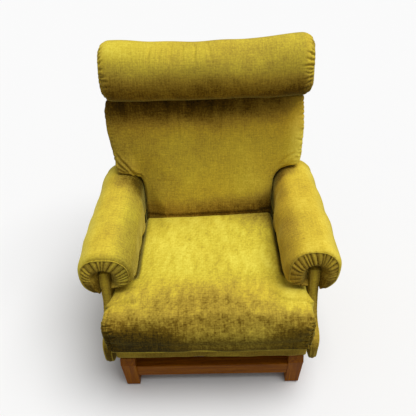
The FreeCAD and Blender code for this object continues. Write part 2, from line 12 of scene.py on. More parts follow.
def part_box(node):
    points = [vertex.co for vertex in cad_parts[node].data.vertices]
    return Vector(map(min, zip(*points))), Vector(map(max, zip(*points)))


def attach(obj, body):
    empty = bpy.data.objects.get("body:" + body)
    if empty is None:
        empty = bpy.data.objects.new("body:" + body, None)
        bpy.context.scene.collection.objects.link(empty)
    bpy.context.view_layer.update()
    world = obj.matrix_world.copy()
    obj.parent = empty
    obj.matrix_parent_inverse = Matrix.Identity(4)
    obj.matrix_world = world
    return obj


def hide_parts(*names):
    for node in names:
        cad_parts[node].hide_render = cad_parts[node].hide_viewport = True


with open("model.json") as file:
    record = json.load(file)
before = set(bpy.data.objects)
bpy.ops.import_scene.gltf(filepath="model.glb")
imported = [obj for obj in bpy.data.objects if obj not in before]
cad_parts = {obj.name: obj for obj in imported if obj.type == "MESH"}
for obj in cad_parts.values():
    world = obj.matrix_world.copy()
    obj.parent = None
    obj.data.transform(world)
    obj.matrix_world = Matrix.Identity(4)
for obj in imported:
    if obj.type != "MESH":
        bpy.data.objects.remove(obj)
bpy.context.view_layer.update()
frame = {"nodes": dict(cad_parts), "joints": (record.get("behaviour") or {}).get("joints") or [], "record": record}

# An upholstered platform-rocker recliner in mustard velour. Metres; it faces -Y, +X is to the right
# seen from the front. A cover is a closed mesh grown from its pad's solid, filled like a cushion,
# then creased, gathered and corded along its seams.

scene = bpy.context.scene
recline = next(joint for joint in frame["joints"] if joint["name"] == "back_recline")
hinge_y, hinge_z = recline["pos_m"][1:]
back_lean = math.radians(12.9)
piping_radius = 0.0035
weld = 1e-5             # points of a solid nearer than this are the same point
filling_frames = 20     # how long a cover is blown up for
seam_pitch = 0.006      # how far apart the points of a seam's line lie
slot_gap = 0.003        # between a side panel and the slot for it in its arm's cover
tiny = 1e-9             # keeps a division by a length of nothing harmless


# ---------------------------------------------------------------- materials

def linear(code):
    """An sRGB hex colour as linear RGBA."""
    parts = [int(code[i:i + 2], 16) / 255 for i in (1, 3, 5)]
    return tuple(p / 12.92 if p <= 0.04045 else ((p + 0.055) / 1.055) ** 2.4 for p in parts) + (1.0,)


def add(tree, kind, inputs=None, stops=None, **settings):
    """Add a node with its settings. An input's value is a constant, or the socket that feeds it."""
    node = tree.nodes.new(kind)
    for name, value in settings.items():
        setattr(node, name, value)
    for key, value in (inputs or {}).items():
        if isinstance(value, bpy.types.NodeSocket):
            tree.links.new(value, node.inputs[key])
        else:
            node.inputs[key].default_value = value
    if stops:
        elements = node.color_ramp.elements
        while len(elements) < len(stops):
            elements.new(1.0)
        for element, (place, colour) in zip(elements, stops):
            element.position = place
            element.color = linear(colour)
    return node


def new_material(name, **surface):
    """A material with its Principled surface set to constants, and its node tree."""
    material = bpy.data.materials.new(name)
    material.use_nodes = True
    shader = material.node_tree.nodes["Principled BSDF"]
    for key, value in surface.items():
        shader.inputs[key.replace("_", " ")].default_value = value
    return material, material.node_tree, shader


def stretched(tree, source, size, detail=2.0, roughness=0.5, distortion=0.0):
    """Noise whose grains have the given size in metres along each axis; about 0.5 on average."""
    scale = tuple(1.0 / length for length in size)
    place = add(tree, "ShaderNodeMapping", {"Vector": source, "Scale": scale})
    grain = {"Vector": place.outputs["Vector"], "Scale": 1.0, "Detail": detail, "Roughness": roughness}
    return add(tree, "ShaderNodeTexNoise", {**grain, "Distortion": distortion}).outputs["Fac"]


def weighted(tree, total, *terms):
    """A sum of patterns, each times its weight, on top of a total to start from."""
    for pattern, weight in terms:
        inputs = {0: pattern, 1: weight, 2: total}
        total = add(tree, "ShaderNodeMath", inputs, operation="MULTIPLY_ADD").outputs[0]
    return total


def lay_on(tree, shader, colour, relief, strength, depth):
    """Give a surface its colour, and a relief whose depth is in metres."""
    tree.links.new(colour, shader.inputs["Base Color"])
    bump = add(tree, "ShaderNodeBump", {"Height": relief, "Strength": strength, "Distance": depth})
    tree.links.new(bump.outputs["Normal"], shader.inputs["Normal"])


def along_grain(axis, across, length):
    """The size of a mark in wood, narrow across the grain and long along it."""
    size = [across] * 3
    size[axis] = length
    return size


def cotton_velour():
    """Cut cotton pile: it glows at the rim of a form, is deep face on, and holds brushed and worn patches. Stored
    painted shade, painted highlights and a painted shade tint are laid over its tone.
    """
    surface = {"Roughness": 0.85, "Specular_IOR_Level": 0.12, "Sheen_Weight": 0.56, "Sheen_Roughness": 0.34}
    material, tree, shader = new_material("cotton_velour", **surface)
    shader.inputs["Sheen Tint"].default_value = linear("#fff07c")
    cloth = add(tree, "ShaderNodeUVMap", uv_map="cloth").outputs["UV"]
    place = add(tree, "ShaderNodeTexCoord").outputs["Object"]
    # The stored tone carries painted shade and painted highlights; the stored tint browns or greens it where shade
    # is painted.
    pile_and_painted_shade = add(tree, "ShaderNodeAttribute", attribute_name="pile_and_painted_shade").outputs["Fac"]
    shade_tint = add(tree, "ShaderNodeAttribute", attribute_name="shade_tint").outputs["Fac"]
    # Pile rows and warp stand 1 mm apart on such cloth, and are drawn 4 mm apart so that they show.
    rows = stretched(tree, cloth, (0.045, 0.0042, 1.0), 3.0, 0.6)
    warp = stretched(tree, cloth, (0.0038, 0.06, 1.0), 3.0, 0.6)
    tufts = stretched(tree, place, (0.006, 0.006, 0.006), 3.0, 0.7)
    crushed = stretched(tree, place, (0.035, 0.035, 0.05), 4.0, 0.62, distortion=0.6)
    worn = stretched(tree, place, (0.17, 0.17, 0.17), 2.0, 0.5)
    weave = weighted(tree, 0.0, (rows, 0.55), (warp, 0.45))
    # The patterns swing about 0.5, so half of their weights comes off a middle tone of 0.52.
    middle_tone = 0.52 - (0.62 + 0.55 + 0.22 + 0.2) / 2
    patterns = (weave, 0.62), (tufts, 0.55), (crushed, 0.22), (worn, 0.2), (pile_and_painted_shade, 1.0)
    tone = weighted(tree, middle_tone, *patterns)
    stops = [(0.0, "#2e2102"), (0.22, "#6a520c"), (0.5, "#b29936"), (0.74, "#d9c23c"), (1.0, "#f2e058")]
    colour = add(tree, "ShaderNodeValToRGB", {"Fac": tone}, stops)
    # The tint is browner in random worn patches, and painted browner or greener where shade falls on the cover.
    wear_and_shade_tint = weighted(tree, 0.35, (worn, 0.3), (shade_tint, 0.5))
    tints = [(0.0, "#ffebdc"), (0.5, "#ffffff"), (1.0, "#f1fff6")]
    tint = add(tree, "ShaderNodeValToRGB", {"Fac": wear_and_shade_tint}, tints)
    inputs = {0: 1.0, 6: colour.outputs["Color"], 7: tint.outputs["Color"]}
    dyed_and_shaded = add(tree, "ShaderNodeMix", inputs, data_type="RGBA", blend_type="MULTIPLY")
    relief = weighted(tree, weave, (crushed, 0.7), (tufts, 0.6))
    lay_on(tree, shader, dyed_and_shaded.outputs[2], relief, 0.6, 0.0016)
    return material


def stained_beech(name, grain_axis):
    """Beech with a red-brown stain under clear varnish: straight grain, short dark flecks, a soft gloss."""
    surface = {"Roughness": 0.48, "Specular_IOR_Level": 0.12, "Coat_Weight": 0.05, "Coat_Roughness": 0.18}
    material, tree, shader = new_material(name, **surface)
    place = add(tree, "ShaderNodeTexCoord").outputs["Object"]
    # Growth bands about 12 mm wide run along the piece, over fibres 1.6 mm wide and flecks of 3 by 14 mm.
    band = stretched(tree, place, along_grain(grain_axis, 0.012, 0.35), 3.0, 0.6, distortion=0.8)
    fibre = stretched(tree, place, along_grain(grain_axis, 0.0016, 0.06), 2.0, 0.6)
    fleck = stretched(tree, place, along_grain(grain_axis, 0.003, 0.014), 1.0, 0.5)
    tone = weighted(tree, 0.0, (band, 0.6), (fibre, 0.45))
    stops = [(0.28, "#5c2c00"), (0.46, "#8e4e02"), (0.6, "#a86204"), (0.8, "#c98510")]
    colour = add(tree, "ShaderNodeValToRGB", {"Fac": tone}, stops)
    inputs = {"Value": fleck, "From Min": 0.62, "From Max": 0.72, "To Max": 0.5}
    dark = add(tree, "ShaderNodeMapRange", inputs)
    inputs = {0: dark.outputs["Result"], 6: colour.outputs["Color"], 7: linear("#411c03")}
    mixed = add(tree, "ShaderNodeMix", inputs, data_type="RGBA")
    lay_on(tree, shader, mixed.outputs[2], fibre, 0.25, 0.0004)
    return material


def bare_wood(name, grain_axis, stops):
    """Sawn wood with no finish: pale, dry and matt, with saw fuzz across the grain."""
    material, tree, shader = new_material(name, Roughness=0.78, Specular_IOR_Level=0.3)
    place = add(tree, "ShaderNodeTexCoord").outputs["Object"]
    band = stretched(tree, place, along_grain(grain_axis, 0.009, 0.4), 3.0, 0.6, distortion=0.5)
    fibre = stretched(tree, place, along_grain(grain_axis, 0.0015, 0.05), 2.0, 0.6)
    tone = weighted(tree, 0.0, (band, 0.6), (fibre, 0.4))
    colour = add(tree, "ShaderNodeValToRGB", {"Fac": tone}, stops)
    lay_on(tree, shader, colour.outputs["Color"], fibre, 0.4, 0.0005)
    return material


def elastic_webbing():
    """Jute-and-rubber upholsterer's webbing: a dark ground with light herringbone ribs."""
    material, tree, shader = new_material("elastic_webbing", Roughness=0.9, Specular_IOR_Level=0.2)
    place = add(tree, "ShaderNodeTexCoord").outputs["Object"]
    # The ribs repeat every 15.4 mm (a wave of scale 1 does every pi / 10), and the picks are 3 mm apart.
    wave = {"Vector": place, "Scale": math.pi / 10 / 0.01542, "Distortion": 1.5, "Detail": 1.0}
    ribs = add(tree, "ShaderNodeTexWave", wave, bands_direction="Y").outputs["Fac"]
    picks = stretched(tree, place, (0.003, 0.012, 0.003), 2.0, 0.6)
    tone = weighted(tree, 0.0, (picks, 0.5), (ribs, 0.5))
    stops = [(0.2, "#17130f"), (0.55, "#3c3226"), (0.85, "#8a7656")]
    colour = add(tree, "ShaderNodeValToRGB", {"Fac": tone}, stops)
    lay_on(tree, shader, colour.outputs["Color"], tone, 0.7, 0.0008)
    return material


def zinc_steel():
    """Zinc-plated mild steel: grey with a faint yellow-blue cast, slightly dulled."""
    material, tree, shader = new_material("zinc_steel", Metallic=1.0)
    place = add(tree, "ShaderNodeTexCoord").outputs["Object"]
    cloud = stretched(tree, place, (0.012, 0.012, 0.012), 3.0, 0.6)
    scratch = stretched(tree, place, (0.0008, 0.02, 0.004), 1.0, 0.5)
    stops = [(0.3, "#8d8f90"), (0.6, "#b3b4b0"), (0.85, "#c3c0ae")]
    colour = add(tree, "ShaderNodeValToRGB", {"Fac": cloud}, stops)
    tree.links.new(colour.outputs["Color"], shader.inputs["Base Color"])
    rough = add(tree, "ShaderNodeMapRange", {"Value": scratch, "To Min": 0.28, "To Max": 0.48})
    tree.links.new(rough.outputs["Result"], shader.inputs["Roughness"])
    return material


def moulded_nylon():
    """Injection-moulded black-brown nylon: matt, with a fine spark-eroded skin."""
    material, tree, shader = new_material("moulded_nylon", Roughness=0.5)
    place = add(tree, "ShaderNodeTexCoord").outputs["Object"]
    skin = stretched(tree, place, (0.0012, 0.0012, 0.0012), 2.0, 0.5)
    colour = add(tree, "ShaderNodeValToRGB", {"Fac": skin}, [(0.3, "#1b1714"), (0.8, "#2b2520")])
    lay_on(tree, shader, colour.outputs["Color"], skin, 0.3, 0.0002)
    return material


# ---------------------------------------------------------------- meshes

def read(items, name, width=3, kind=np.float32):
    """One property of all the items of a mesh, as an array."""
    flat = np.empty(len(items) * width, kind)
    items.foreach_get(name, flat)
    return flat.reshape(-1, width).astype(float) if width > 1 else flat


def points_of(piece):
    return read(piece.data.vertices, "co")


def normals_of(piece):
    return read(piece.data.vertex_normals, "vector")


def put_points(piece, points):
    piece.data.vertices.foreach_set("co", np.asarray(points, np.float32).ravel())
    piece.data.update()


def new_object(name, data):
    """A new object in the scene."""
    made = bpy.data.objects.new(name, data)
    scene.collection.objects.link(made)
    return made


def mesh_piece(name, points, faces, cloth=None, edges=()):
    """A new object from points and faces; cloth gives each face corner its place on the flat cloth."""
    mesh = bpy.data.meshes.new(name)
    mesh.from_pydata([tuple(p) for p in points], edges, faces)
    if cloth is not None:
        mesh.uv_layers.new(name="cloth").uv.foreach_set("vector", np.asarray(cloth, np.float32).ravel())
    mesh.update()
    return new_object(name, mesh)


def modified(piece):
    """The piece's mesh as its modifiers leave it, as a new mesh."""
    graph = bpy.context.evaluated_depsgraph_get()
    return bpy.data.meshes.new_from_object(piece.evaluated_get(graph))


def with_modifiers(piece, *wanted):
    """Add the wanted modifiers, each a kind and its settings, and apply all the piece has to its mesh."""
    for kind, settings in wanted:
        modifier = piece.modifiers.new(kind.title(), kind)
        for name, value in settings.items():
            setattr(modifier, name, value)
    mesh = modified(piece)
    piece.modifiers.clear()
    piece.data = mesh
    return piece


def rework(mesh, change):
    """Change a mesh as a bmesh."""
    work = bmesh.new()
    work.from_mesh(mesh)
    change(work)
    work.to_mesh(mesh)
    work.free()


def even_skin(piece, voxel, soften=6):
    """The piece as one even closed skin, its edges softened."""
    remesh = ("REMESH", {"mode": "VOXEL", "voxel_size": voxel})
    return with_modifiers(piece, remesh, ("SMOOTH", {"factor": 0.5, "iterations": soften}))


def pad_from(node, name, voxel, soften=6):
    """An even skin over a copy of a pad's solid."""
    piece = new_object(name, frame["nodes"][node].data.copy())
    rework(piece.data, lambda work: bmesh.ops.remove_doubles(work, verts=work.verts, dist=weld))
    return even_skin(piece, voxel, soften)


def slab(name, outline, front, rear, voxel):
    """A pad cut to an outline on the upright back, as an even skin."""
    count = len(outline)
    points = [(x, y, z) for y in (front, rear) for x, z in outline]
    faces = [tuple(range(count)), tuple(range(2 * count - 1, count - 1, -1))]
    faces += [(i, (i + 1) % count, (i + 1) % count + count, i + count) for i in range(count)]
    piece = mesh_piece(name, from_back(points), faces)

    def outward(work):
        bmesh.ops.triangulate(work, faces=work.faces)
        bmesh.ops.recalc_face_normals(work, faces=work.faces)

    rework(piece.data, outward)
    return even_skin(piece, voxel)


def fill_cover(piece, pressure, cap, held=None):
    """Blow the cover up like a filled cushion. No point moves further than cap, and held points stay."""
    stiffness = 18.0
    start = points_of(piece)
    cloth = piece.modifiers.new("Cloth", "CLOTH")
    settings = cloth.settings
    settings.quality = 4
    settings.mass = 0.3
    settings.tension_stiffness = stiffness
    settings.compression_stiffness = stiffness
    settings.shear_stiffness = stiffness * 0.4
    settings.bending_stiffness = 0.6
    settings.use_pressure = True
    settings.uniform_pressure_force = pressure
    settings.effector_weights.gravity = 0.0
    cloth.collision_settings.use_collision = False
    cloth.point_cache.frame_end = filling_frames
    if held is not None:
        group = piece.vertex_groups.new(name="held")
        group.add(np.nonzero(held)[0].tolist(), 1.0, "REPLACE")
        settings.vertex_group_mass = "held"
    for number in range(1, filling_frames + 1):
        scene.frame_set(number)
    filled = modified(piece)
    step = read(filled.vertices, "co") - start
    bpy.data.meshes.remove(filled)
    piece.modifiers.clear()
    piece.vertex_groups.clear()
    scene.frame_set(1)
    reach = np.linalg.norm(step, axis=1, keepdims=True) + tiny
    put_points(piece, start + step * (cap * np.tanh(reach / cap) / reach))


def waves(points, length, seed):
    """A smooth random field of about -1 to 1, whose lumps are about length across."""
    count = 14
    chance = np.random.default_rng(seed)
    ways = chance.normal(size=(count, 3))
    ways /= np.linalg.norm(ways, axis=1, keepdims=True)
    ways *= 2 * math.pi / length * chance.uniform(0.6, 1.4, (count, 1))
    phases = chance.uniform(0, 2 * math.pi, count)
    return np.cos(points @ ways.T + phases).sum(axis=1) / math.sqrt(count)


def smooth(x):
    x = np.clip(x, 0.0, 1.0)
    return x * x * (3 - 2 * x)


def ramp(x, start, width):
    """0 before a start, 1 a width past it, and smooth between; a negative width falls the other way."""
    return smooth((x - start) / width)


def even_path(path, pitch=seam_pitch, closed=False):
    """The path again as points a pitch apart, and how far along each one lies."""
    path = np.asarray(path, float)
    if closed:
        path = np.vstack([path, path[:1]])
    run = np.concatenate([[0.0], np.cumsum(np.linalg.norm(np.diff(path, axis=0), axis=1))])
    count = max(int(round(run[-1] / pitch)), 8)
    at = np.linspace(0.0, run[-1], count + 1)
    even = np.stack([np.interp(at, run, path[:, i]) for i in range(3)], axis=1)
    return (even[:-1], at[:-1]) if closed else (even, at)


def nearest_on(path, points, reach):
    """For each point, how far it is from the path and how far along the path its nearest place is."""
    line, along = even_path(path, 0.002)
    tree = KDTree(len(line))
    for i, place in enumerate(line):
        tree.insert(place, i)
    tree.balance()
    far = np.full(len(points), 1.0)
    where = np.zeros(len(points))
    low, high = line.min(0) - reach, line.max(0) + reach
    near = np.nonzero(((points > low) & (points < high)).all(axis=1))[0]
    for i in near:
        _, index, distance = tree.find(points[i])
        far[i] = distance
        where[i] = along[index]
    return far, where, along[-1]


def press(piece, depth):
    """Move a skin inwards by a depth, one for all of it or one for each point."""
    points, normals = points_of(piece), normals_of(piece)
    put_points(piece, points - normals * np.reshape(depth, (-1, 1)))


def gathers(piece, path, pitch, depth, reach, seed, groove):
    """Draw a cover up along a seam: creases of random length and slant run out from the path."""
    far, where, length = nearest_on(path, points_of(piece), reach)
    chance = np.random.default_rng(seed)
    sink = groove * np.exp(-(far / 0.0035) ** 2)
    place = 0.0
    while place < length:
        run = reach * chance.uniform(0.35, 1.0)
        width = pitch * chance.uniform(0.16, 0.26)
        slant = chance.uniform(-0.35, 0.35)
        here = where - place - slant * far
        sink += depth * chance.uniform(0.4, 1.0) * np.exp(-(here / width) ** 2) * smooth(1 - far / run)
        sink -= 0.35 * depth * np.exp(-((here - pitch * 0.5) / (2 * width)) ** 2) * smooth(1 - far / run)
        place += pitch * chance.uniform(0.6, 1.4)
    press(piece, sink)


def crease(piece, path, depth, width):
    """Press one soft fold into a cover along a path, fading out at both ends, with a lip beside it."""
    far, where, length = nearest_on(path, points_of(piece), width * 4)
    ends = smooth(where / length / 0.3) * ramp(where / length, 1, -0.3)
    sink = np.exp(-(far / width) ** 2) - 0.4 * np.exp(-((far - 1.9 * width) / width) ** 2)
    press(piece, depth * ends * sink)


def plump(piece, lump, length, seed):
    """Uneven filling: shallow lumps and hollows under the cover."""
    press(piece, -lump * waves(points_of(piece), length, seed))


def swell_out(piece, pressure, cap, held, lump, length, seed):
    """Fill a cover, refine its mesh and leave its filling a little uneven."""
    fill_cover(piece, pressure, cap, held)
    with_modifiers(piece, ("SUBSURF", {"levels": 1}))
    plump(piece, lump, length, seed)


def paint_pile_and_shade(piece, shade=None, facing=0.1, patch=0.04, seed=3, shade_tint=0.0):
    """Store the pile's tone: random patches, painted shade where a face looks down, and the piece's own painted
    shade and painted highlights; and a painted browner or greener shade tint.
    """
    points, normals = points_of(piece), normals_of(piece)
    # Painted shade: darker where a face looks down, lighter where it looks up.
    pile_and_painted_shade = facing * (normals[:, 2] - 0.3)
    pile_and_painted_shade += patch * waves(points, 0.20, seed) + 0.5 * patch * waves(points, 0.07, seed + 1)
    # Each piece's own painted shade and painted highlights.
    if shade is not None:
        pile_and_painted_shade += shade(points)
    hue = np.zeros(len(points)) + (shade_tint(points) if callable(shade_tint) else shade_tint)
    for name, values in (("pile_and_painted_shade", pile_and_painted_shade), ("shade_tint", hue)):
        stored = piece.data.attributes.new(name, "FLOAT", "POINT").data
        stored.foreach_set("value", values.astype(np.float32))


def lay_cloth(piece):
    """Give each face its place on the cloth. Side faces are panels of their own, as they are sewn."""
    mesh = piece.data
    if "cloth" in mesh.uv_layers:
        return
    totals = read(mesh.polygons, "loop_total", 1, np.int32)
    sideways = np.repeat(np.abs(read(mesh.polygon_normals, "vector")[:, 0]) > 0.75, totals)
    place = points_of(piece)[read(mesh.loops, "vertex_index", 1, np.int32)]
    u = np.where(sideways, place[:, 1], place[:, 0])
    v = np.where(sideways, place[:, 2], place[:, 1] + place[:, 2])
    mesh.uv_layers.new(name="cloth").uv.foreach_set("vector", np.stack([u, v], 1).astype(np.float32).ravel())


def to_back(points):
    """Row places as places on the upright back: across, in front or behind, and up from the hinge."""
    points = np.asarray(points, float)
    y, z = points[..., 1] - hinge_y, points[..., 2] - hinge_z
    cos, sin = math.cos(back_lean), math.sin(back_lean)
    return np.stack([points[..., 0], y * cos - z * sin, y * sin + z * cos], axis=-1)


def from_back(points):
    points = np.asarray(points, float)
    y, z = points[..., 1], points[..., 2]
    cos, sin = math.cos(back_lean), math.sin(back_lean)
    return np.stack([points[..., 0], hinge_y + y * cos + z * sin, hinge_z - y * sin + z * cos], axis=-1)


def back_box(node):
    """Lowest and highest corners of a node on the upright back."""
    places = to_back(points_of(frame["nodes"][node]))
    return places.min(0), places.max(0)


def rounded_loop(outline, count):
    """A closed curve through the outline's points, as evenly spaced points."""
    outline = np.asarray(outline, float)
    before, after, beyond = np.roll(outline, 1, 0), np.roll(outline, -1, 0), np.roll(outline, -2, 0)
    t = np.linspace(0, 1, 16, endpoint=False)[None, :, None]
    a, b, c, d = (p[:, None, :] for p in (before, outline, after, beyond))
    square, cube = 2 * a - 5 * b + 4 * c - d, 3 * b - a - 3 * c + d
    curve = 0.5 * (2 * b + (c - a) * t + square * t ** 2 + cube * t ** 3)
    curve = curve.reshape(-1, 2)
    ring = np.vstack([curve, curve[:1]])
    run = np.concatenate([[0.0], np.cumsum(np.linalg.norm(np.diff(ring, axis=0), axis=1))])
    at = np.linspace(0, run[-1], count, endpoint=False)
    return np.stack([np.interp(at, run, ring[:, i]) for i in range(2)], axis=1), run[-1]


def loft(name, rings, along, around, flat_end=False):
    """A closed skin over rings of points. Each end closes at its ring's middle, or flat where asked."""
    rings = np.asarray(rings, float)
    rows, count = rings.shape[:2]
    points = np.vstack([rings.reshape(-1, 3), rings[0].mean(0)[None], rings[-1].mean(0)[None]])
    first, last = rows * count, rows * count + 1
    girth = np.linspace(0, around, count + 1)
    faces, cloth = [], []
    for i in range(rows - 1):
        for j in range(count):
            k = (j + 1) % count
            faces.append((i * count + j, i * count + k, (i + 1) * count + k, (i + 1) * count + j))
            low, high = along[i], along[i + 1]
            cloth += [(girth[j], low), (girth[j + 1], low), (girth[j + 1], high), (girth[j], high)]
    for j in range(count):
        k = (j + 1) % count
        faces.append((first, k, j))
        cloth += [(girth[j], along[0]), (girth[j + 1], along[0]), (girth[j], along[0])]
        if not flat_end:
            faces.append((last, (rows - 1) * count + j, (rows - 1) * count + k))
            cloth += [(girth[j], along[-1]), (girth[j], along[-1]), (girth[j + 1], along[-1])]
    if flat_end:
        faces.append(tuple(range((rows - 1) * count, rows * count)))
        cloth += [(girth[j], along[-1]) for j in range(count)]
        points = points[:-1]
    piece = mesh_piece(name, points, faces, cloth)

    def outward(work):
        bmesh.ops.triangulate(work, faces=[face for face in work.faces if len(face.verts) > 4])
        if work.calc_volume(signed=True) < 0:
            bmesh.ops.reverse_faces(work, faces=work.faces)

    rework(piece.data, outward)
    return piece


def dress(piece, body, *nodes, fill=None):
    """Finish a piece: its velour, its smooth skin, the body it rides on and the nodes it stands for."""
    lay_cloth(piece)
    piece.data.materials.clear()
    piece.data.materials.append(velour)
    piece.data.shade_smooth()
    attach(piece, body)
    if nodes:
        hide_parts(*nodes)


# ---------------------------------------------------------------- piping, by Geometry Nodes

def piping_tree():
    """A covered cord along a seam, its cover slightly puckered by the sewing."""
    tree = bpy.data.node_groups.new("piping", "GeometryNodeTree")
    sockets = (
        ("Geometry", "Geometry", None), ("Cord radius", "Float", piping_radius), ("Pucker", "Float", 0.12),
        ("Pucker length", "Float", 0.009), ("Seed", "Int", 7), ("Material", "Material", None),
    )
    for label, kind, value in sockets:
        socket = tree.interface.new_socket(label, in_out="INPUT", socket_type=f"NodeSocket{kind}")
        if value is not None:
            socket.default_value = value
    tree.interface.new_socket("Geometry", in_out="OUTPUT", socket_type="NodeSocketGeometry")
    given = add(tree, "NodeGroupInput").outputs
    line = add(tree, "GeometryNodeMeshToCurve", {"Mesh": given["Geometry"]})
    inputs = {"Curve": line.outputs[0], "Length": 0.003}
    spaced = add(tree, "GeometryNodeResampleCurve", inputs, mode="LENGTH")
    scale = add(tree, "ShaderNodeMath", {0: 1.0, 1: given["Pucker length"]}, operation="DIVIDE")
    inputs = {"W": given["Seed"], "Scale": scale.outputs[0], "Detail": 1.0}
    noise = add(tree, "ShaderNodeTexNoise", inputs, noise_dimensions="4D")
    swing = add(tree, "ShaderNodeMath", {0: noise.outputs["Fac"], 1: 0.5}, operation="SUBTRACT")
    inputs = {0: swing.outputs[0], 1: given["Pucker"], 2: 1.0}
    share = add(tree, "ShaderNodeMath", inputs, operation="MULTIPLY_ADD")
    width = add(tree, "ShaderNodeMath", {0: share.outputs[0], 1: given["Cord radius"]}, operation="MULTIPLY")
    ring = add(tree, "GeometryNodeCurvePrimitiveCircle", {"Resolution": 10, "Radius": 1.0})
    inputs = {"Curve": spaced.outputs[0], "Profile Curve": ring.outputs[0], "Scale": width.outputs[0]}
    cord = add(tree, "GeometryNodeCurveToMesh", {**inputs, "Fill Caps": True})
    inputs = {"Geometry": cord.outputs[0], "Material": given["Material"]}
    painted = add(tree, "GeometryNodeSetMaterial", inputs)
    add(tree, "NodeGroupOutput", {"Geometry": painted.outputs[0]})
    return tree


velour = cotton_velour()
piping = piping_tree()


def on_skin(piece, path, lift=0.0):
    """Drop a path onto a piece's skin, lifted off it by a little."""
    skin = BVHTree.FromPolygons(
        [tuple(p) for p in points_of(piece)], [tuple(f.vertices) for f in piece.data.polygons]
    )
    found = []
    for place in path:
        hit, normal, _, _ = skin.find_nearest(Vector(place))
        found.append(hit + normal * lift)
    return np.array([tuple(p) for p in found])


def smoothed(path, closed, rounds):
    path = np.asarray(path, float)
    for _ in range(rounds):
        calm = (np.roll(path, 1, 0) + path * 2 + np.roll(path, -1, 0)) / 4
        if not closed:
            calm[0], calm[-1] = path[0], path[-1]
        path = calm
    return path


def cord_seam(name, piece, path, body, closed=False, radius=piping_radius, lift=0.35, calm=4):
    """Piping along a seam of a finished cover, kept as a plain mesh."""
    line, _ = even_path(path, closed=closed)
    line = smoothed(on_skin(piece, line, radius * lift), closed, calm)
    count = len(line)
    edges = [(i, (i + 1) % count) for i in range(count if closed else count - 1)]
    cord = mesh_piece(name, line, [], edges=edges)
    modifier = cord.modifiers.new("Nodes", "NODES")
    modifier.node_group = piping
    sockets = {item.name: item.identifier for item in piping.interface.items_tree if item.in_out == "INPUT"}
    modifier[sockets["Cord radius"]] = radius
    modifier[sockets["Material"]] = velour
    with_modifiers(cord)
    # Painted shade where the cord looks down.
    paint_pile_and_shade(cord, patch=0.05)
    dress(cord, body)


def flat_rim(node, axis, level, back=False):
    """The closed edge line of the flat face of a pad's solid that lies at a level along an axis."""
    work = bmesh.new()
    work.from_mesh(frame["nodes"][node].data)
    bmesh.ops.remove_doubles(work, verts=work.verts, dist=weld)
    places = np.array([tuple(v.co) for v in work.verts])
    places = to_back(places) if back else places
    work.verts.index_update()
    flat = np.abs(places[:, axis] - level) < 2e-4
    inside = {face for face in work.faces if all(flat[v.index] for v in face.verts)}
    edges = [edge for edge in work.edges if sum(face in inside for face in edge.link_faces) == 1]
    following = {}
    for edge in edges:
        a, b = (v.index for v in edge.verts)
        following.setdefault(a, []).append(b)
        following.setdefault(b, []).append(a)
    loops = []
    while following:
        start = next(iter(following))
        loop, here = [start], start
        while following.get(here):
            there = following[here].pop()
            following[there].remove(here)
            if there == start:
                break
            loop.append(there)
            here = there
        following = {k: v for k, v in following.items() if v}
        loops.append(places[loop])
    work.free()
    return max(loops, key=lambda loop: np.linalg.norm(np.diff(loop, axis=0), axis=1).sum())


def panel_front(side_name, level):
    """Heights up the front edge of a side panel beside the seat, and how far back it is at each."""
    rim = flat_rim(f"side_panel_{side_name}", 0, level)
    rim = rim[(rim[:, 1] < -0.25) & (rim[:, 2] > 0.29) & (rim[:, 2] < 0.44)]
    rim = rim[np.argsort(rim[:, 2])]
    return rim[:, 2], rim[:, 1]


def moved_out(line, way):
    """A closed line with its points moved away from its middle."""
    outward = line - line.mean(0)
    outward /= np.linalg.norm(outward, axis=1, keepdims=True)
    return line + outward * way


# ---------------------------------------------------------------- the seat

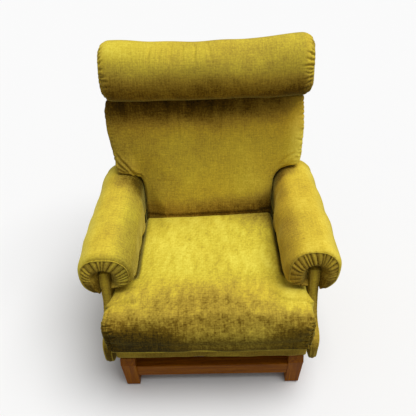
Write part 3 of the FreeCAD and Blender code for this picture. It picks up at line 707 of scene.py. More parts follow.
def seat_cushion():
    """The T-shaped seat cushion: crowned, rolled over the front, drawn up along its side seams."""
    low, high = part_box("seat_cushion")
    piece = pad_from("seat_cushion", "seat_cushion_cover", 0.0065)
    x, y, z = points_of(piece).T
    under = z < low[2] + 0.020
    ears_rear = low[1] + 0.098
    stem = 0.3205           # half the cushion's width behind the ears, under the arms
    between_arms = 0.236    # from here outwards the cushion drops away beside the arms
    beside = (y > ears_rear) & (np.abs(x) > 0.24)
    held = under | beside
    press(piece, np.where(held, 0.001, 0.006))
    swell_out(piece, 5.0, 0.024, held, lump=0.0016, length=0.16, seed=11)
    points = points_of(piece)
    x, y, z = points.T
    # Behind the ears it keeps between the side panels, and below the arms' inner lobes.
    in_arms = y > ears_rear
    x[:] = np.where(in_arms, np.clip(x, -stem, stem), x)
    under_arm = ramp(np.abs(x), 0.205, 0.035) * ramp(y, -0.31, 0.02)
    ceiling = high[2] + 0.001 + 0.05 * (1 - under_arm)
    # Its lower front edge stands forward as a lip, and its ears reach out.
    toward_seam = ramp(y, low[1] + 0.036, -0.03) * ramp(z, low[2] + 0.040, -0.03)
    y -= 0.014 * toward_seam
    z -= 0.010 * toward_seam
    ear = ramp(y, ears_rear + 0.006, -0.02) * ramp(np.abs(x), 0.27, 0.06)
    x += np.where(x < 0, -0.012, -0.001) * ear
    y[:] = np.maximum(y, low[1] - 0.006)
    z[:] = np.clip(z, low[2], ceiling)
    off_side = ramp(np.abs(x), between_arms, 0.024) * ramp(y, -0.240, 0.06)
    z -= 0.030 * off_side * ramp(z, 0.345, 0.04)
    # High up, the ears' rear corners widen in front of the side panels.
    before_panel = np.interp(z, *panel_front("left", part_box("side_panel_left")[1][0])) - 0.010
    high_up = ramp(z, 0.33, 0.03)
    wall = stem + 0.017 * ramp(y, before_panel, -0.06) * high_up
    straight = 0.300        # up to here the sides stay as they are
    spread = np.abs(x) - straight
    wider = (spread > 0) & in_arms
    x += np.where(wider, np.sign(x) * spread * (wall - stem) / (stem - straight), 0.0)
    x[:] = np.minimum(x, wall + 0.03 * (1 - high_up))
    # The cushion wells up where it passes from between the arms into each ear.
    off_corner = np.abs(x) - 0.252
    swell = np.exp(-(off_corner / np.where(off_corner < 0, 0.035, 0.065)) ** 2)
    swell *= np.exp(-((y + 0.312) / 0.038) ** 2) * ramp(z, 0.36, 0.03)
    z += np.where(x < 0, 0.024, 0.013) * swell
    # The rear is fuller, more so to the right; it is tucked down along the back cushion, in front of it.
    middle = ramp(np.abs(x), 0.256, -0.03) * ramp(y, -0.12, 0.16)
    z += (0.011 + 0.032 * x) * middle * ramp(z, 0.37, 0.02)
    back_face = back_box("back_cushion")[0][1]
    tucked = ramp(to_back(points)[:, 1] - back_face, -0.013, 0.010)
    z -= 0.012 * tucked * ramp(z, 0.37, 0.02)
    behind = to_back(points)
    behind[:, 1] = np.minimum(behind[:, 1], back_face - 0.001)
    put_points(piece, from_back(behind))
    # The gathers run down each side seam, over the front and to the lower seam.
    for side in (-1, 1):
        path = [
            (side * 0.332, low[1] + (0.045 if side > 0 else 0.075), high[2]),
            (side * 0.328, low[1] + 0.030, high[2] - 0.016),
            (side * 0.322, low[1] + 0.006, high[2] - 0.050),
            (side * 0.320, low[1], low[2] + 0.040),
            (side * 0.320, low[1] + 0.004, low[2] + 0.006),
        ]
        seam = on_skin(piece, even_path(path)[0])
        gathers(piece, seam, pitch=0.0125, depth=0.0085, reach=0.05, seed=21 + side, groove=0.004)

    # Painted shade: darker towards and over the front roll, less so across its lit middle, in the creases beside
    # the arms and along the back cushion, in the rear right corner and on the left of the front. Painted light on
    # both ears and right of the middle. The streaks are random pile.
    def shade(places):
        x, y, z = places.T
        fore = -y
        drop = 0.33 * ramp(fore, 0.17, 0.18) + 0.09 * ramp(fore, 0.375, 0.03)
        lit = ramp(x, -0.14, 0.12) * ramp(x, 0.25, -0.12)
        below = ramp(z, high[2] - 0.012 - 0.032 * lit, -0.045)
        front = below * ramp(fore, 0.36, 0.05)
        drop += (0.16 - 0.09 * lit) * front + 0.08 * ramp(z, 0.305, -0.03)
        drop -= 0.03 * lit * ramp(fore, 0.41, 0.02) * ramp(z, 0.31, 0.03)
        streaks = 0.045 * waves(places * (1.0, 0.4, 1.0), 0.03, 15) + 0.035 * waves(places, 0.013, 16)
        streaks *= 1 - 0.6 * front
        beside = ramp(np.abs(x), between_arms, 0.020) * ramp(y, -0.235, 0.05)
        behind = ramp(to_back(places)[:, 1] - back_face, -0.014, 0.010)
        corner = ramp(x, 0.03, 0.12) * (0.3 + 0.7 * ramp(y, -0.04, 0.12))
        corner *= ramp(y, -0.14, 0.08)
        ear = ramp(x, 0.20, 0.08) * ramp(fore, 0.40, -0.05) * ramp(fore, 0.22, 0.05)
        ear += 0.45 * ramp(x, 0.05, 0.08) * ramp(fore, 0.36, -0.05) * ramp(fore, 0.24, 0.04)
        ear += 0.5 * ramp(-x, 0.21, 0.07) * ramp(fore, 0.385, -0.04) * ramp(fore, 0.25, 0.04)
        left = ramp(-x, 0.02, 0.15) * ramp(fore, 0.38, 0.05)
        left -= 0.4 * ramp(-x, 0.14, 0.08) * ramp(fore, 0.25, 0.03) * ramp(fore, 0.37, -0.04)
        shadow = 0.48 * np.maximum(beside, behind) + 0.38 * corner
        return 0.25 - drop + streaks - shadow + 0.26 * ear - 0.08 * left

    # Painted shade tint: greener on the shaded front face; otherwise greener at the rear and browner further
    # forward.
    def shade_tint(places):
        _, y, z = places.T
        fore = -y
        front = ramp(z, high[2] - 0.012, -0.055)
        return 0.35 - 0.45 * ramp(fore, 0.20, 0.10) + 0.35 * front

    paint_pile_and_shade(piece, shade, facing=0.06, patch=0.035, seed=5, shade_tint=shade_tint)
    dress(piece, "body", "seat_cushion", fill=0.75)
    front = low[1] + 0.004
    seam = [(x, front, low[2] + 0.004) for x in np.linspace(-0.318, 0.318, 90)]
    cord_seam("seat_cushion_piping", piece, seam, "body", calm=60)


# ---------------------------------------------------------------- the back

def back_outline(wing, lower, crest, hollow, corner, top):
    """One side of the back's outline from the bottom up: a hollow over the arm, then the wing."""
    turn = np.linspace(0, math.pi / 2, 14)
    arm = [(lower + hollow - hollow * math.cos(a), crest - hollow + hollow * math.sin(a)) for a in turn]
    inmost = wing - 0.004 - corner
    tip = [(inmost + corner * math.sin(a), crest + corner - corner * math.cos(a)) for a in turn]
    return [(lower - 0.002, 0.030)] + arm + tip + [(wing + 0.004, (crest + top) / 2), (wing + 0.007, top)]


def back_cushion():
    """The back's own cushion: flat and full, drawn up along its wings, creased below the roll."""
    low, high = back_box("back_cushion")
    lower_half, hollow = 0.2515, 0.066
    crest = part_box("arm_pad_left")[1][2] - hinge_z + 0.0035
    half = back_outline(high[0], lower_half, crest, hollow, 0.034, high[2] + 0.004)
    outline = half + [(-x, z) for x, z in reversed(half)]
    piece = slab("back_cushion_cover", outline, low[1] + 0.004, high[1], 0.0065)
    places = to_back(points_of(piece))
    _, y, z = places.T
    rim = (y > high[1] - 0.036) | (z > high[2] - 0.010)
    swell_out(piece, 5.0, 0.022, rim, lump=0.0013, length=0.18, seed=31)
    places = to_back(points_of(piece))
    x, y, z = places.T
    y[:] = np.clip(y, low[1] - 0.012, high[1])
    # Over the arms it is hollowed, so that it swings clear of their crests.
    swing = np.hypot(y, z)
    over_arm = (np.abs(x) > lower_half) & (swing < crest)
    centre = np.array([lower_half + hollow, crest - hollow])
    from_centre = np.stack([np.abs(x), swing], 1) - centre
    reach = np.linalg.norm(from_centre, axis=1)
    inside = over_arm & (from_centre[:, 0] < 0) & (from_centre[:, 1] > 0) & (reach < hollow)
    pushed = centre[0] + from_centre[:, 0] * hollow / (reach + tiny)
    x[:] = np.where(inside, np.sign(x) * pushed, x)
    low_side = z < centre[1]
    x[:] = np.where(low_side, np.clip(x, -lower_half, lower_half), x)
    under_wing = over_arm & (from_centre[:, 0] >= 0)
    lifted = np.sqrt(np.maximum(crest ** 2 - y ** 2, 0))
    z[:] = np.where(under_wing, lifted, z)
    # The cover is pulled a little to the left at the top, and its left wing hangs over the arm's front.
    edge = ramp(np.abs(x), 0.24, 0.10)
    heights = (0.33, 0.45, 0.565, 0.600)
    spread = np.interp(z, heights, (0.0, 0.007, 0.012, 0.002))
    narrow = np.interp(z, heights, (-0.005, -0.001, 0.006, 0.009))
    x -= edge * np.where(x < 0, spread, narrow)
    lobe = ramp(-x, 0.255, 0.04) * ramp(z, 0.40, -0.06)
    front = ramp(-y, 0.045, 0.02)
    y -= 0.016 * lobe * front
    z -= 0.012 * lobe * front
    put_points(piece, from_back(places))
    # Gathers run in from the wings' side seams, and folds hang below the roll and slant in from the wings.
    for side in (-1, 1):
        path = [(side * 0.353, -0.066, height) for height in np.linspace(0.37, 0.59, 40)]
        seam = on_skin(piece, from_back(path))
        gathers(piece, seam, pitch=0.018, depth=0.0034, reach=0.045, seed=41 + side, groove=0.0022)
    folds = (
        ((-0.112, 0.605), (-0.108, 0.54), (-0.100, 0.46), 0.0036),
        ((-0.050, 0.605), (-0.052, 0.56), (-0.050, 0.49), 0.0030),
        ((0.050, 0.605), (0.052, 0.55), (0.046, 0.45), 0.0038),
        ((0.100, 0.605), (0.101, 0.57), (0.104, 0.52), 0.0026),
        ((-0.362, 0.415), (-0.315, 0.365), (-0.255, 0.290), 0.0075),
        ((-0.360, 0.382), (-0.325, 0.350), (-0.285, 0.322), 0.0060),
        ((-0.350, 0.352), (-0.325, 0.336), (-0.300, 0.326), 0.0045),
        ((0.345, 0.400), (0.300, 0.372), (0.265, 0.325), 0.0022),
    )
    for first, second, third, depth in folds:
        fold = [(x, -0.09, z) for x, z in (first, second, third)]
        width = 0.0045 if depth > 0.0025 else 0.006
        crease(piece, on_skin(piece, from_back(even_path(fold)[0])), depth, width)

    # Painted shade under the roll, towards the bottom, at the foot (more to the right), along the seam with the
    # seat and on the left wing; painted light towards the right and on the right edge. The streaks under the roll
    # are random pile.
    def shade(places):
        local = to_back(places)
        x, _, z = local.T
        sides = (x / 0.36) ** 2
        under_roll = ramp(z - 0.47, 0.03 * sides, 0.12)
        streaks = waves(local * (1.0, 0.0, 0.12), 0.035, 33)
        lower = ramp(z, 0.26, -0.2)
        foot = ramp(z, 0.252 + 0.08 * x, -0.085) * ramp(z, 0.115, 0.035)
        lean = 0.25 * x + 0.24 * ramp(x, 0.28, 0.06)
        wing = ramp(-x, 0.27, 0.05) * (0.6 + 0.4 * ramp(z, 0.40, -0.06))
        foot += 0.6 * ramp(x, -0.05, 0.15) * ramp(z, 0.15, -0.035)
        seam = np.exp(-((0.157 + 0.03 * x - z) / 0.006) ** 2)
        dark = (0.50 - 0.12 * sides) * under_roll + 0.10 * lower + (0.27 + 0.5 * x) * foot + 0.2 * seam
        return 0.13 - dark - 0.12 * wing + 0.06 * under_roll * streaks + lean

    # Painted shade tint: browner under the roll and at the foot.
    def shade_tint(places):
        z = to_back(places)[:, 2]
        return -0.2 - 0.6 * ramp(z, 0.42, 0.12) - 0.6 * ramp(z, 0.23, -0.07)

    paint_pile_and_shade(piece, shade, facing=0.06, patch=0.035, seed=9, shade_tint=shade_tint)
    dress(piece, "back", "back_cushion", fill=0.7)


def headrest_roll():
    """The roll across the top: a filled tube, dimpled in the middle and gathered into its end discs."""
    low, high = back_box("headrest_roll")
    half, end_round = high[0], 0.040
    depth, height = 0.088, (high[2] - low[2]) / 2
    middle_y, middle_z = low[1] + depth, (low[2] + high[2]) / 2
    count = 150
    turn = np.linspace(0, 2 * math.pi, count, endpoint=False)
    stations = np.concatenate([
        -half + end_round * (1 - np.cos(np.linspace(0, math.pi / 2, 8))),
        np.linspace(-half + end_round, half - end_round, 118)[1:-1],
        half - end_round * (1 - np.sin(np.linspace(0, math.pi / 2, 8))),
    ])
    rings, along = [], []

    def ring(x, inset, shrink=1.0):
        cos, sin = np.cos(turn), np.sin(turn)
        bulge = 1.0 + 0.10 * (sin * cos) ** 2
        y = middle_y - (depth - inset) * bulge * cos * shrink
        z = middle_z + (height - inset) * bulge * sin * shrink
        y = np.minimum(y, high[1])
        return np.stack([np.full(count, x), y, z], axis=1)

    # Over the left end disc, along the tube, and over the right end disc.
    for shrink in np.linspace(0.06, 0.95, 17):
        rings.append(ring(-half - 0.004 * (1 - shrink ** 2), end_round, shrink))
        along.append(-half - 0.1 * (1 - shrink))
    for x in stations:
        edge = max(abs(x) - (half - end_round), 0.0)
        inset = end_round - math.sqrt(max(end_round ** 2 - edge ** 2, 0.0))
        rings.append(ring(x, inset))
        along.append(x)
    for shrink in np.linspace(0.95, 0.06, 17):
        rings.append(ring(half + 0.004 * (1 - shrink ** 2), end_round, shrink))
        along.append(half + 0.1 * (1 - shrink))
    rings = np.array(rings)
    piece = loft("headrest_cover", from_back(rings), along, 2 * math.pi * 0.093)
    points = points_of(piece)
    held = to_back(points)[:, 1] > high[1] - 0.002
    swell_out(piece, 3.0, 0.009, held, lump=0.0018, length=0.14, seed=51)
    places = to_back(points_of(piece))
    x, y, z = places.T
    # Both ends stand higher than the middle, the right one more.
    up = smooth((z - middle_z + 0.3 * height) / (1.3 * height))
    ends = 0.010 * ramp(-x, 0.18, 0.16) + 0.018 * ramp(x, 0.10, 0.25)
    z += up * (ends + 0.003) + 0.006 * (1 - up) * ramp(x, 0.15, 0.2)
    x += np.where(x < 0, 0.006, 0.003) * ramp(np.abs(x), 0.28, 0.06)
    y[:] = np.minimum(y, high[1])
    put_points(piece, from_back(places))
    for side in (-1, 1):
        x = side * (half - 0.012)
        inner = 0.93        # the seam lies this far out in the end disc
        seam = [(x, middle_y - depth * inner * math.cos(a), middle_z + height * inner * math.sin(a))
                for a in np.linspace(-2.2, 2.2, 120)]
        seam = on_skin(piece, from_back(np.array(seam)))
        gathers(piece, seam, pitch=0.017, depth=0.0064, reach=0.046, seed=61 + side, groove=0.0034)
    for x, lean, deep in ((-0.180, -0.014, 1.0), (-0.145, -0.010, 0.8), (-0.110, -0.008, 1.1),
                          (-0.072, -0.004, 0.9), (-0.028, -0.010, 1.3), (0.012, 0.010, 0.7)):
        fold = [(x, middle_y - 0.03, middle_z + 0.095), (x + lean * 0.5, middle_y - 0.062, middle_z + 0.07),
                (x + lean, middle_y - 0.085, middle_z + 0.03)]
        crease(piece, on_skin(piece, from_back(even_path(fold, 0.005)[0])), 0.0026 * deep, 0.005)

    # Painted light on the roll's upper half, more to the left, and on its ends; painted shade on its lower half,
    # more to the right.
    def shade(places):
        local = to_back(places)
        x, _, z = local.T
        below = ramp(z, middle_z + 0.01, -height)
        above = ramp(z - middle_z, -0.01, height)
        end = ramp(np.abs(x), 0.335, 0.03)
        lean = (0.07 - 0.22 * x) * above + 0.10 * end
        return 0.02 + lean - (0.17 + 0.12 * ramp(x, 0.02, 0.2)) * below

    # Painted shade tint: browner on the lower half and at the ends.
    def shade_tint(places):
        x = places[:, 0]
        ends = ramp(np.abs(x), 0.325, 0.03)
        return -0.6 * np.maximum(ramp(to_back(places)[:, 2], middle_z + 0.02, -0.06), 0.6 * ends)

    paint_pile_and_shade(piece, shade, facing=0.12, patch=0.035, seed=13, shade_tint=shade_tint)
    dress(piece, "back", "headrest_roll", fill=0.65)


# ---------------------------------------------------------------- the arms

def pleats(piece, heart, seam_angles, seam_reach, front, depth, seed, side):
    """Fold the half-moon front of an arm into pleats that run from its arc seam to the panel's top, and give that
    front's painted shade and painted highlights.
    """
    points = points_of(piece)
    x, y, z = points.T
    across, up = x * side - heart[0], z - heart[1]
    angle = np.arctan2(up, across)
    share = np.hypot(across, up) / np.interp(angle, seam_angles, seam_reach, period=2 * math.pi)
    chance = np.random.default_rng(seed)
    valleys = [-math.pi - 0.2]
    while valleys[-1] < math.pi:
        valleys.append(valleys[-1] + chance.uniform(0.07, 0.30))
    valleys = np.array(valleys)
    swirl = angle + 0.16 * (1 - share) * np.sin(4 * angle + seed)
    which = np.clip(np.searchsorted(valleys, swirl) - 1, 0, len(valleys) - 2)
    phase = (swirl - valleys[which]) / (valleys[which + 1] - valleys[which])
    ridge = np.sin(math.pi * np.clip(phase, 0, 1)) ** 0.8
    deep = chance.uniform(0.35, 1.0, len(valleys))[which]
    start = chance.uniform(0.02, 0.40, len(valleys))[which]
    outer_lobe = np.clip(ramp(angle, -0.35, 0.3) + ramp(-angle, 1.5, 0.2), 0, 1)
    on_front = ramp(y, front + 0.042, -0.012)
    facing = on_front * ramp(share, 1.05, -0.13)
    off_stem = ramp(np.hypot(across, up) - 0.030, 0.014 * smooth(-up / 0.02), 0.03)
    fold = depth * deep * facing * (0.06 + 0.94 * outer_lobe) * ramp(share, start, 0.25) * off_stem
    y += fold * (0.75 - ridge)
    put_points(piece, points)
    # The front's painted shade, deeper towards the stem, on the inner lobe and low down, and painted highlights on
    # the pleats' ridges.
    inside = ramp(share, 1.0, -0.05) * on_front
    toward_stem = ramp(share, 0.62, -0.35)
    low_down = ramp(-up, 0.005, 0.05)
    depth_of_tone = 1 + 0.4 * toward_stem + 0.4 * (1 - outer_lobe) + 0.7 * low_down
    lit = facing * deep * (ridge - 0.55) * outer_lobe * off_stem * (1 - 0.5 * low_down)
    return inside * depth_of_tone, lit


def arm_outline(inner, outer, panel_inner, panel_outer, bottom, top, slot_top):
    """The section of an arm, from the top of the panel's slot round the outer lobe and the inner one."""
    slot_inner, slot_outer = panel_inner - slot_gap, panel_outer + slot_gap
    return [
        ((panel_inner + panel_outer) / 2, slot_top + 0.002), (slot_outer - 0.003, slot_top - 0.006),
        (slot_outer, slot_top - 0.020), (slot_outer, bottom + 0.016), (panel_outer + 0.008, bottom + 0.003),
        (outer - 0.030, bottom + 0.002), (outer - 0.008, bottom + 0.026), (outer, bottom + 0.072),
        (outer - 0.006, top - 0.050), (outer - 0.040, top - 0.010), ((inner + outer) / 2, top),
        (inner + 0.040, top - 0.010), (inner + 0.006, top - 0.050), (inner, bottom + 0.072),
        (inner, bottom + 0.024), (inner + 0.004, bottom + 0.006), (inner + 0.018, bottom + 0.001),
        (panel_inner - 0.016, bottom + 0.002), (slot_inner - 0.002, bottom + 0.012),
        (slot_inner, bottom + 0.034), (slot_inner, slot_top - 0.020), (slot_inner + 0.003, slot_top - 0.006),
    ]


def arm_pad(side_name, side, seed):
    """The saddle roll of an arm: gathered into a half-moon front, and open below round the panel."""
    low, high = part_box(f"arm_pad_{side_name}")
    panel_low, panel_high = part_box(f"side_panel_{side_name}")
    inner, outer = sorted((abs(low[0]), abs(high[0])))
    panel_inner, panel_outer = sorted((abs(panel_low[0]), abs(panel_high[0])))
    bottom, top = low[2], high[2]
    middle, panel_middle = (inner + outer) / 2, (panel_inner + panel_outer) / 2
    slot_top = panel_high[2] + slot_gap
    count = 156
    outline = arm_outline(inner, outer, panel_inner, panel_outer, bottom, top, slot_top)
    loop, around = rounded_loop(outline, count)
    body_middle = np.array([middle, 0.6 * top + 0.4 * bottom])
    stem = np.array([panel_middle, panel_high[2] - 0.014])
    stem_reach = (panel_outer - panel_inner) / 2 + slot_gap
    in_slot = (np.abs(loop[:, 0] - panel_middle) < stem_reach + 0.004) & (loop[:, 1] < slot_top + 0.006)
    front, rear = low[1], high[1]
    shoulder = 0.026
    upper_half = (loop[:, 1] > body_middle[1])[:, None]
    squeeze = np.where(upper_half, (0.13, 0.15 if side > 0 else 0.32), (0.13, 0.05))
    squeeze = np.where(in_slot[:, None], 0.0, squeeze)
    panel_face = front + 0.034
    rings, along = [], []

    def add_ring(ring, y, cloth_at, before_panel=False):
        """Lay a ring across the arm. In front of the panel, the slot's part of it stays behind its face."""
        behind = in_slot if before_panel else np.zeros(count, bool)
        rings.append([(x, max(y, panel_face) if slot else y, z) for (x, z), slot in zip(ring, behind)])
        along.append(cloth_at)

    # The rear, its rounded edge, the length of the arm, and the front's shoulder.
    for share in np.linspace(0.06, 0.94, 14):
        add_ring(body_middle + (loop - body_middle) * share * 0.88, rear, rear + 0.08 * (1 - share))
    for angle in np.linspace(0, math.pi / 2, 6):
        y = rear - 0.020 * (1 - math.cos(angle))
        add_ring(body_middle + (loop - body_middle) * (0.88 + 0.12 * math.sin(angle)), y, y)
    for y in np.linspace(rear - 0.020, front + shoulder, 96)[1:-1]:
        add_ring(loop, y, y)
    for angle in np.linspace(0, math.pi / 2, 8):
        y = front + 0.004 + (shoulder - 0.004) * (1 - math.sin(angle))
        add_ring(loop + (body_middle - loop) * squeeze * (1 - math.cos(angle)), y, y, before_panel=True)
    # The half-moon front, from its seam inwards to the panel's top.
    seam_ring = np.array(rings[-1])[:, [0, 2]]
    spoke = seam_ring - stem
    spoke_angle = np.arctan2(spoke[:, 1], spoke[:, 0])
    target = stem + spoke * (stem_reach + 0.001) / np.linalg.norm(spoke, axis=1, keepdims=True)
    beside = seam_ring[:, 1] < stem[1]
    target[beside, 0] = panel_middle + np.sign(spoke[beside, 0]) * (stem_reach + 0.001)
    inner_side = spoke[:, 0] < 0
    hem = bottom + np.where(inner_side, 0.022, 0.003)
    target[beside, 1] = np.maximum(seam_ring[beside, 1], hem[beside])
    target[in_slot] = seam_ring[in_slot]
    for share in np.linspace(0.0, 0.96, 24)[1:]:
        y = front + 0.004 - 0.006 * math.sin(math.pi * share) + 0.020 * float(ramp(share, 0.55, 0.41))
        add_ring(seam_ring + (target - seam_ring) * share, y, front - 0.09 * share, before_panel=True)
    rings = np.array(rings)
    x, y, z = (rings[:, :, i] for i in range(3))
    # The outer lobe closes up to the panel, and the crest falls away behind, clear of the back's swing.
    close = ramp(y, front + 0.075, -0.03) * ramp(x, panel_outer + 0.045, -0.040)
    close *= ramp(x - panel_middle, 0.010, 0.008) * ramp(z, slot_top, -0.03)
    x -= 0.012 * close
    swing = top - hinge_z

    def crest_at(y):
        return hinge_z + np.sqrt(swing ** 2 - np.maximum(y - hinge_y, 0.0) ** 2)

    half_way = (bottom + top) / 2
    above = np.maximum(z - half_way, 0.0)
    z[:] = np.minimum(z, half_way) + above * (crest_at(y) - half_way) / (top - half_way)
    if side < 0:
        x *= -1
    piece = loft(f"arm_cover_{side_name}", rings, along, around, flat_end=True)
    points = points_of(piece)
    x, y, z = points.T
    near_slot = (np.abs(x - side * panel_middle) < 0.027) & (z < slot_top + 0.01)
    held = near_slot | (y < front + 0.012) | (z < bottom + 0.010)
    swell_out(piece, 3.0, 0.007, held, lump=0.0016, length=0.12, seed=seed)
    points = points_of(piece)
    x, y, z = points.T
    # The inner side keeps clear of the back and turns under beside the seat, and the outer side bulges.
    width = x * side
    inward = np.clip((body_middle[0] - width) / (body_middle[0] - inner), 0.0, 1.1)
    beside_back = ramp(y, 0.045, 0.055)
    forward = ramp(y, -0.02, -0.12)
    off_front = ramp(y - front, 0.01, 0.10)
    width += inward ** 2 * (0.0085 * beside_back - 0.002 * (1 - beside_back) - 0.003 * forward * off_front)
    turn_under = ramp(z, bottom + 0.055, -0.055) * ramp(y, 0.02, -0.08)
    width += 0.016 * ramp(inward, 0.55, 0.35) * turn_under * off_front
    outward = np.clip((width - body_middle[0]) / (outer - body_middle[0]), 0.0, 1.0)
    width += 0.006 * outward ** 2 * np.exp(-((y + 0.10) / 0.12) ** 2)
    inner_limit = inner + 0.0080 * beside_back - 0.010 * (1 - beside_back)
    x[:] = np.clip(width, inner_limit, outer + 0.011) * side
    near_stem, more = (0.008, 0.020) if side > 0 else (0.018, 0.024)

    def lobes(width, y, z):
        """How far the two lobes of the front are drawn up beside the panel, and let down outside it."""
        fore = ramp(y, -0.215, -0.05)
        inner_lobe = ramp(width, panel_middle - 0.01, -0.02) * ramp(z, bottom + 0.100, -0.10)
        lift = near_stem + more * ramp(width, panel_inner - 0.005, -(panel_inner - inner))
        outer_lobe = ramp(width - panel_outer, 0.002, 0.014) * ramp(width, outer - 0.010, -0.03)
        drop = 0.006 * outer_lobe * ramp(z, bottom + 0.05, -0.05)
        return fore * (lift * inner_lobe - drop)

    z += lobes(width, y, z)
    z[:] = np.clip(z, bottom - 0.007, crest_at(y) + 0.004 * ramp(y, 0.06, -0.08))
    # A flap of the cover is tucked down at the inner rear.
    width = x * side
    tuck = ramp(y, 0.134, 0.012) * ramp(width, inner + 0.050, -0.02)
    z -= 0.080 * tuck * ramp(z, bottom + 0.022, -0.014)
    put_points(piece, points)
    order = np.argsort(spoke_angle)
    rim = ~in_slot[order]
    seam_angles, seam_reach = spoke_angle[order][rim], np.linalg.norm(spoke, axis=1)[order][rim]
    inside, lit = pleats(piece, stem, seam_angles, seam_reach, front, 0.0085, seed, side)
    arc_angles = np.linspace(-0.30, math.pi + 0.60, 120)
    arc_reach = np.interp(arc_angles, seam_angles, seam_reach, period=2 * math.pi)
    across, up = stem[0] + arc_reach * np.cos(arc_angles), stem[1] + arc_reach * np.sin(arc_angles)
    up = up + lobes(across, front + 0.006, up)
    arc = np.stack([side * across, np.full(len(up), front + 0.006), up], axis=1)

    # Painted shade on the inner side and under the back's wing, painted light on the outer side; over the front,
    # the pleats' painted shade and painted highlights.
    def shade(places):
        x = places[:, 0]
        across = x * side
        inner_side = ramp(across, middle - 0.010, -0.065)
        outer_side = ramp(across - middle, 0.02, 0.05)
        if side > 0:
            tone = 0.16 - 0.13 * inner_side + 0.18 * outer_side
            near_back = ramp(to_back(places)[:, 1], -0.128, 0.045) * ramp(across, 0.350, -0.04)
        else:
            tone = 0.12 - 0.19 * inner_side + 0.24 * outer_side
            near_back = ramp(to_back(places)[:, 1], -0.200, 0.11) * ramp(across, 0.372, -0.06)
        tone -= 0.34 * near_back
        return np.where(inside > 0.05, 0.10 - 0.20 * inside, tone) + 0.5 * lit

    # Painted shade tint: the left arm's inner side greener, the right arm browner, most on its inner side.
    def shade_tint(places):
        x = places[:, 0]
        inner_side = ramp(x * side, middle - 0.010, -0.065)
        return (0.75 * inner_side - 0.15) if side < 0 else (-0.35 - 0.3 * inner_side)

    paint_pile_and_shade(piece, shade, seed=seed, shade_tint=shade_tint)
    dress(piece, "body", f"arm_pad_{side_name}", fill=0.7)
    cord_seam(f"arm_front_piping_{side_name}", piece, arc, "body", radius=0.0016, lift=0.9)
    run = np.linspace(-0.22, 0.24, 90)
    edge = inner + 0.0085 * ramp(run, 0.045, 0.055) + 0.005 * ramp(run, 0.02, -0.08)
    lower = np.stack([side * edge, run, np.full(90, bottom + 0.012)], axis=1)
    cord_seam(f"arm_inner_piping_{side_name}", piece, lower, "body", radius=0.0020)


def side_panel(side_name, side, seed):
    """The thin padded panel under an arm, corded down both edges."""
    low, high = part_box(f"side_panel_{side_name}")
    piece = pad_from(f"side_panel_{side_name}", f"side_panel_cover_{side_name}", 0.0072, 3)
    press(piece, 0.002)
    swell_out(piece, 3.0, 0.005, None, lump=0.0010, length=0.10, seed=seed)
    points = points_of(piece)
    x, y, z = points.T
    inward, outward = 0.001, 0.004      # how far the cover may stand proud of the solid on each side
    least, most = (low[0] - inward, high[0] + outward) if side > 0 else (low[0] - outward, high[0] + inward)
    x[:] = np.clip(x, least, most)
    # In front of the arm the panel ends in a slim stem with a round tip.
    neck = y[z > high[2] - 0.03].min()
    stem = ramp(y, neck + 0.050, -0.010) * ramp(z, 0.39, 0.07)
    z += 0.010 * stem
    centre_x = (low[0] + high[0]) / 2
    outer_face = ramp((x - centre_x) * side, -0.006, 0.014)
    x -= side * 0.0035 * outer_face * ramp(y, neck + 0.055, -0.02)
    middle = centre_x - side * 0.002
    radius = 0.020
    tip = high[2] - radius
    above = z - tip
    off = x - middle
    reach = np.hypot(off, above)
    round_tip = (above > 0) & (reach > radius) & (stem > 0.5)
    x[:] = np.where(round_tip, middle + off * radius / (reach + tiny), x)
    z[:] = np.where(round_tip, tip + above * radius / (reach + tiny), z)
    # The front edge is rolled round, with the same radius as the tip.
    centre = np.interp(z, *panel_front(side_name, low[0])) - 0.012 + radius
    ahead = np.minimum(y - centre, 0.0)
    reach = np.hypot(x - middle, ahead)
    rolled = np.where((ahead < 0) & (reach > radius), radius / (reach + tiny), 1.0)
    rolled = 1 + (rolled - 1) * ramp(z, 0.30, 0.06)
    x[:] = middle + (x - middle) * rolled
    y[:] = np.where(ahead < 0, centre + ahead * rolled, y)
    toe = ramp(z, 0.27, -0.06) * ramp(y, -0.30, -0.05)
    x -= side * (0.008 if side > 0 else 0.004) * toe * ramp(off * side, -0.004, 0.012)
    put_points(piece, points)

    # Painted shade on the front, the toe and the rolled edge's sides, and a painted highlight down its middle; the
    # panel also gets a browner painted shade tint.
    def shade(places):
        x, y, z = places.T
        fore = ramp(y, -0.24, -0.05)
        toe = ramp(z, 0.30, -0.08) * ramp(y, -0.28, -0.08)
        high_up = ramp(z, 0.30, 0.06)
        flank = fore * high_up * ramp(np.abs(x - middle), 0.010, 0.009)
        ridge = fore * np.exp(-((x - middle) / 0.008) ** 2) * ramp(z, 0.33, 0.06)
        round_off = 0.20 * ridge - 0.20 * flank
        toe_tone, front_tone = (0.10, 0.10) if side > 0 else (0.28, 0.04)
        return 0.02 - toe_tone * toe - front_tone * fore + round_off

    paint_pile_and_shade(piece, shade, seed=seed, shade_tint=-0.2)
    dress(piece, "body", f"side_panel_{side_name}", fill=0.5)
    for face, level in (("inner", low[0]), ("outer", high[0])):
        rim, _ = even_path(flat_rim(f"side_panel_{side_name}", 0, level), closed=True)
        below = rim[rim[:, 2] < high[2] - 0.004]
        start = np.argmax(np.linalg.norm(below - np.roll(below, 1, 0), axis=1))
        path = moved_out(np.roll(below, -start, 0), 0.009)
        path[:, 0] = level
        cord_seam(f"side_panel_piping_{face}_{side_name}", piece, path, "body", radius=0.0022)


# ---------------------------------------------------------------- the rest of the upholstery

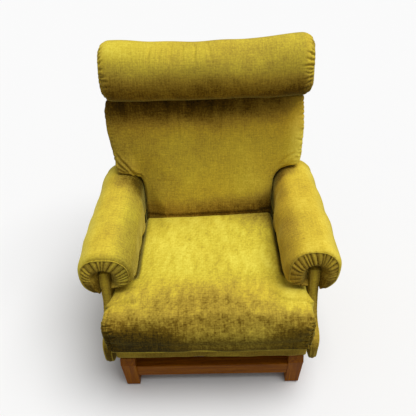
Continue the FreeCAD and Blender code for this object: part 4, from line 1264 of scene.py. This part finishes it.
def outside_back():
    """The covered rear and sides of the back, slightly padded, with cord round the rear panel."""
    _, high = back_box("outside_back")
    piece = pad_from("outside_back", "outside_back_cover", 0.006, 3)
    places = to_back(points_of(piece))
    x, y, z = places.T
    rear = ramp(y - high[1], -0.006, 0.004)
    width = np.where(z > 0.345, 0.35, 0.235)
    crown = np.clip(1 - (x / width) ** 4, 0, 1) * np.clip(1 - ((z - 0.40) / 0.37) ** 6, 0, 1)
    y += rear * (0.007 * crown + 0.0012 * waves(places, 0.16, 73))
    put_points(piece, from_back(places))
    # Random pile patches, and painted shade where its faces look down.
    paint_pile_and_shade(piece, patch=0.025, seed=71)
    dress(piece, "back", "outside_back", fill=0.4)
    rim = flat_rim("outside_back", 1, high[1], back=True)
    path = from_back(moved_out(rim, 0.004))
    cord_seam("outside_back_piping", piece, path, "back", closed=True, radius=0.0026)


def footrest_border():
    """The padded front edge of the footrest, its cover turned under and corded along the top."""
    low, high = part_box("footrest_border")
    piece = pad_from("footrest_border", "footrest_border_cover", 0.0045, 3)
    fill_cover(piece, 3.0, 0.004)
    plump(piece, lump=0.0009, length=0.07, seed=81)
    points = points_of(piece)
    x, _, z = points.T
    lowest = ramp(z, low[2] + 0.03, -0.03)
    z -= (0.002 + 0.004 * ramp(x, -0.1, 0.3)) * lowest
    put_points(piece, points)
    # Painted shade where its faces look down, and a browner painted shade tint under the seat.
    paint_pile_and_shade(piece, facing=0.12, patch=0.06, seed=83, shade_tint=-0.5)
    dress(piece, "footrest", "footrest_border", fill=0.5)
    seam = [(x, low[1] + 0.002, high[2] - 0.010) for x in np.linspace(low[0] + 0.012, high[0] - 0.012, 80)]
    cord_seam("footrest_border_piping", piece, seam, "footrest", radius=0.0028, calm=60)


def footrest_pad():
    """The thin pad on the footrest board."""
    low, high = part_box("footrest_pad")
    piece = pad_from("footrest_pad", "footrest_pad_cover", 0.0078, 3)
    press(piece, 0.002)
    fill_cover(piece, 3.0, 0.006)
    points = points_of(piece)
    z = points[:, 2]
    z[:] = np.clip(z, low[2], high[2] + 0.002)
    put_points(piece, points)
    # Random pile patches, and painted shade where its faces look down.
    paint_pile_and_shade(piece, patch=0.08, seed=91)
    dress(piece, "footrest", "footrest_pad", fill=0.5)


# ---------------------------------------------------------------- the frame's finishes

def finish_frame():
    """Give every solid of the frame the finish of its real material."""
    stain = [stained_beech(f"stained_beech_{axis}", i) for i, axis in enumerate("xyz")]
    beech_stops = [(0.3, "#b08a5c"), (0.55, "#c9a678"), (0.8, "#dcc094")]
    ply_stops = [(0.3, "#a5835a"), (0.55, "#c2a173"), (0.8, "#d6b98b")]
    beech = [bare_wood(f"sawn_beech_{axis}", i, beech_stops) for i, axis in enumerate("xyz")]
    finishes = {
        "plywood": bare_wood("birch_plywood", 0, ply_stops),
        "webbing": elastic_webbing(),
        "steel": zinc_steel(),
        "nylon": moulded_nylon(),
    }
    for part in frame["record"]["subparts"]:
        node, name = frame["nodes"][part["node"]], part["material_slot"]
        if name == "velour":
            continue
        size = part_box(part["node"])[1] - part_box(part["node"])[0]
        longest = max(range(3), key=lambda i: size[i])
        if name == "stained_wood":
            finish = stain[2 if "leg" in part["node"] else longest]
        elif name == "beech":
            finish = beech[longest]
        else:
            finish = finishes[name]
        node.data.materials.clear()
        node.data.materials.append(finish)


seat_cushion()
back_cushion()
headrest_roll()
for side_name, side in (("left", -1), ("right", 1)):
    arm_pad(side_name, side, 101 + side)
    side_panel(side_name, side, 111 + side)
outside_back()
footrest_border()
footrest_pad()
finish_frame()


# ---------------------------------------------------------------- floor, light and camera

def stage():
    """A plain pale floor. It bounces less light than it shows, so the undersides stay deep."""
    material, tree, shader = new_material("pale_floor", Roughness=0.9, Specular_IOR_Level=0.0)
    ray = add(tree, "ShaderNodeLightPath")
    inputs = {0: ray.outputs["Is Camera Ray"], 1: ray.outputs["Is Glossy Ray"]}
    seen = add(tree, "ShaderNodeMath", inputs, operation="MAXIMUM")
    inputs = {0: seen.outputs[0], 6: linear("#808080"), 7: linear("#f0f0f0")}
    shown = add(tree, "ShaderNodeMix", inputs, data_type="RGBA")
    tree.links.new(shown.outputs[2], shader.inputs["Base Color"])
    size = 30.0
    corners = [(-size, -size, 0), (size, -size, 0), (size, size, 0), (-size, size, 0)]
    floor = mesh_piece("floor", corners, [(0, 1, 2, 3)])
    floor.data.materials.append(material)


def lights():
    """A wide soft lamp high up, to the right and a little in front, and a dim even surround."""
    lamp = bpy.data.lights.new("overhead_softbox", "SUN")
    lamp.energy = 2.7
    lamp.angle = math.radians(48)
    holder = new_object("overhead_softbox", lamp)
    holder.rotation_euler = (math.radians(4), math.radians(17), 0)
    world = bpy.data.worlds.new("surround")
    scene.world = world
    world.use_nodes = True
    tree = world.node_tree
    background = tree.nodes["Background"]
    ray = add(tree, "ShaderNodeLightPath")
    inputs = {0: ray.outputs["Is Camera Ray"], 1: ray.outputs["Is Transmission Ray"]}
    seen = add(tree, "ShaderNodeMath", inputs, operation="MAXIMUM")
    strength = add(tree, "ShaderNodeMapRange", {"Value": seen.outputs[0], "To Min": 0.28, "To Max": 1.0})
    tree.links.new(strength.outputs["Result"], background.inputs["Strength"])
    background.inputs["Color"].default_value = (1, 1, 1, 1)


def camera():
    """Eye height, in front of the chair and looking down on it."""
    pitch, yaw, roll = 0.634826, -0.0179747, -0.0343490
    ahead = Vector((math.sin(yaw) * math.cos(pitch), math.cos(yaw) * math.cos(pitch), -math.sin(pitch)))
    level = ahead.cross(Vector((0, 0, 1))).normalized()
    above = level.cross(ahead)
    right = level * math.cos(roll) + above * math.sin(roll)
    up = above * math.cos(roll) - level * math.sin(roll)
    lens = bpy.data.cameras.new("camera")
    lens.sensor_width = 36.0
    lens.lens = 41.54
    lens.clip_start, lens.clip_end = 0.05, 100.0
    eye = new_object("camera", lens)
    turn = Matrix((right, up, -ahead)).transposed().to_4x4()
    eye.matrix_world = Matrix.Translation((0.02379, -1.39505, 1.55163)) @ turn
    scene.camera = eye


stage()
lights()
camera()
scene.view_settings.view_transform = "Standard"
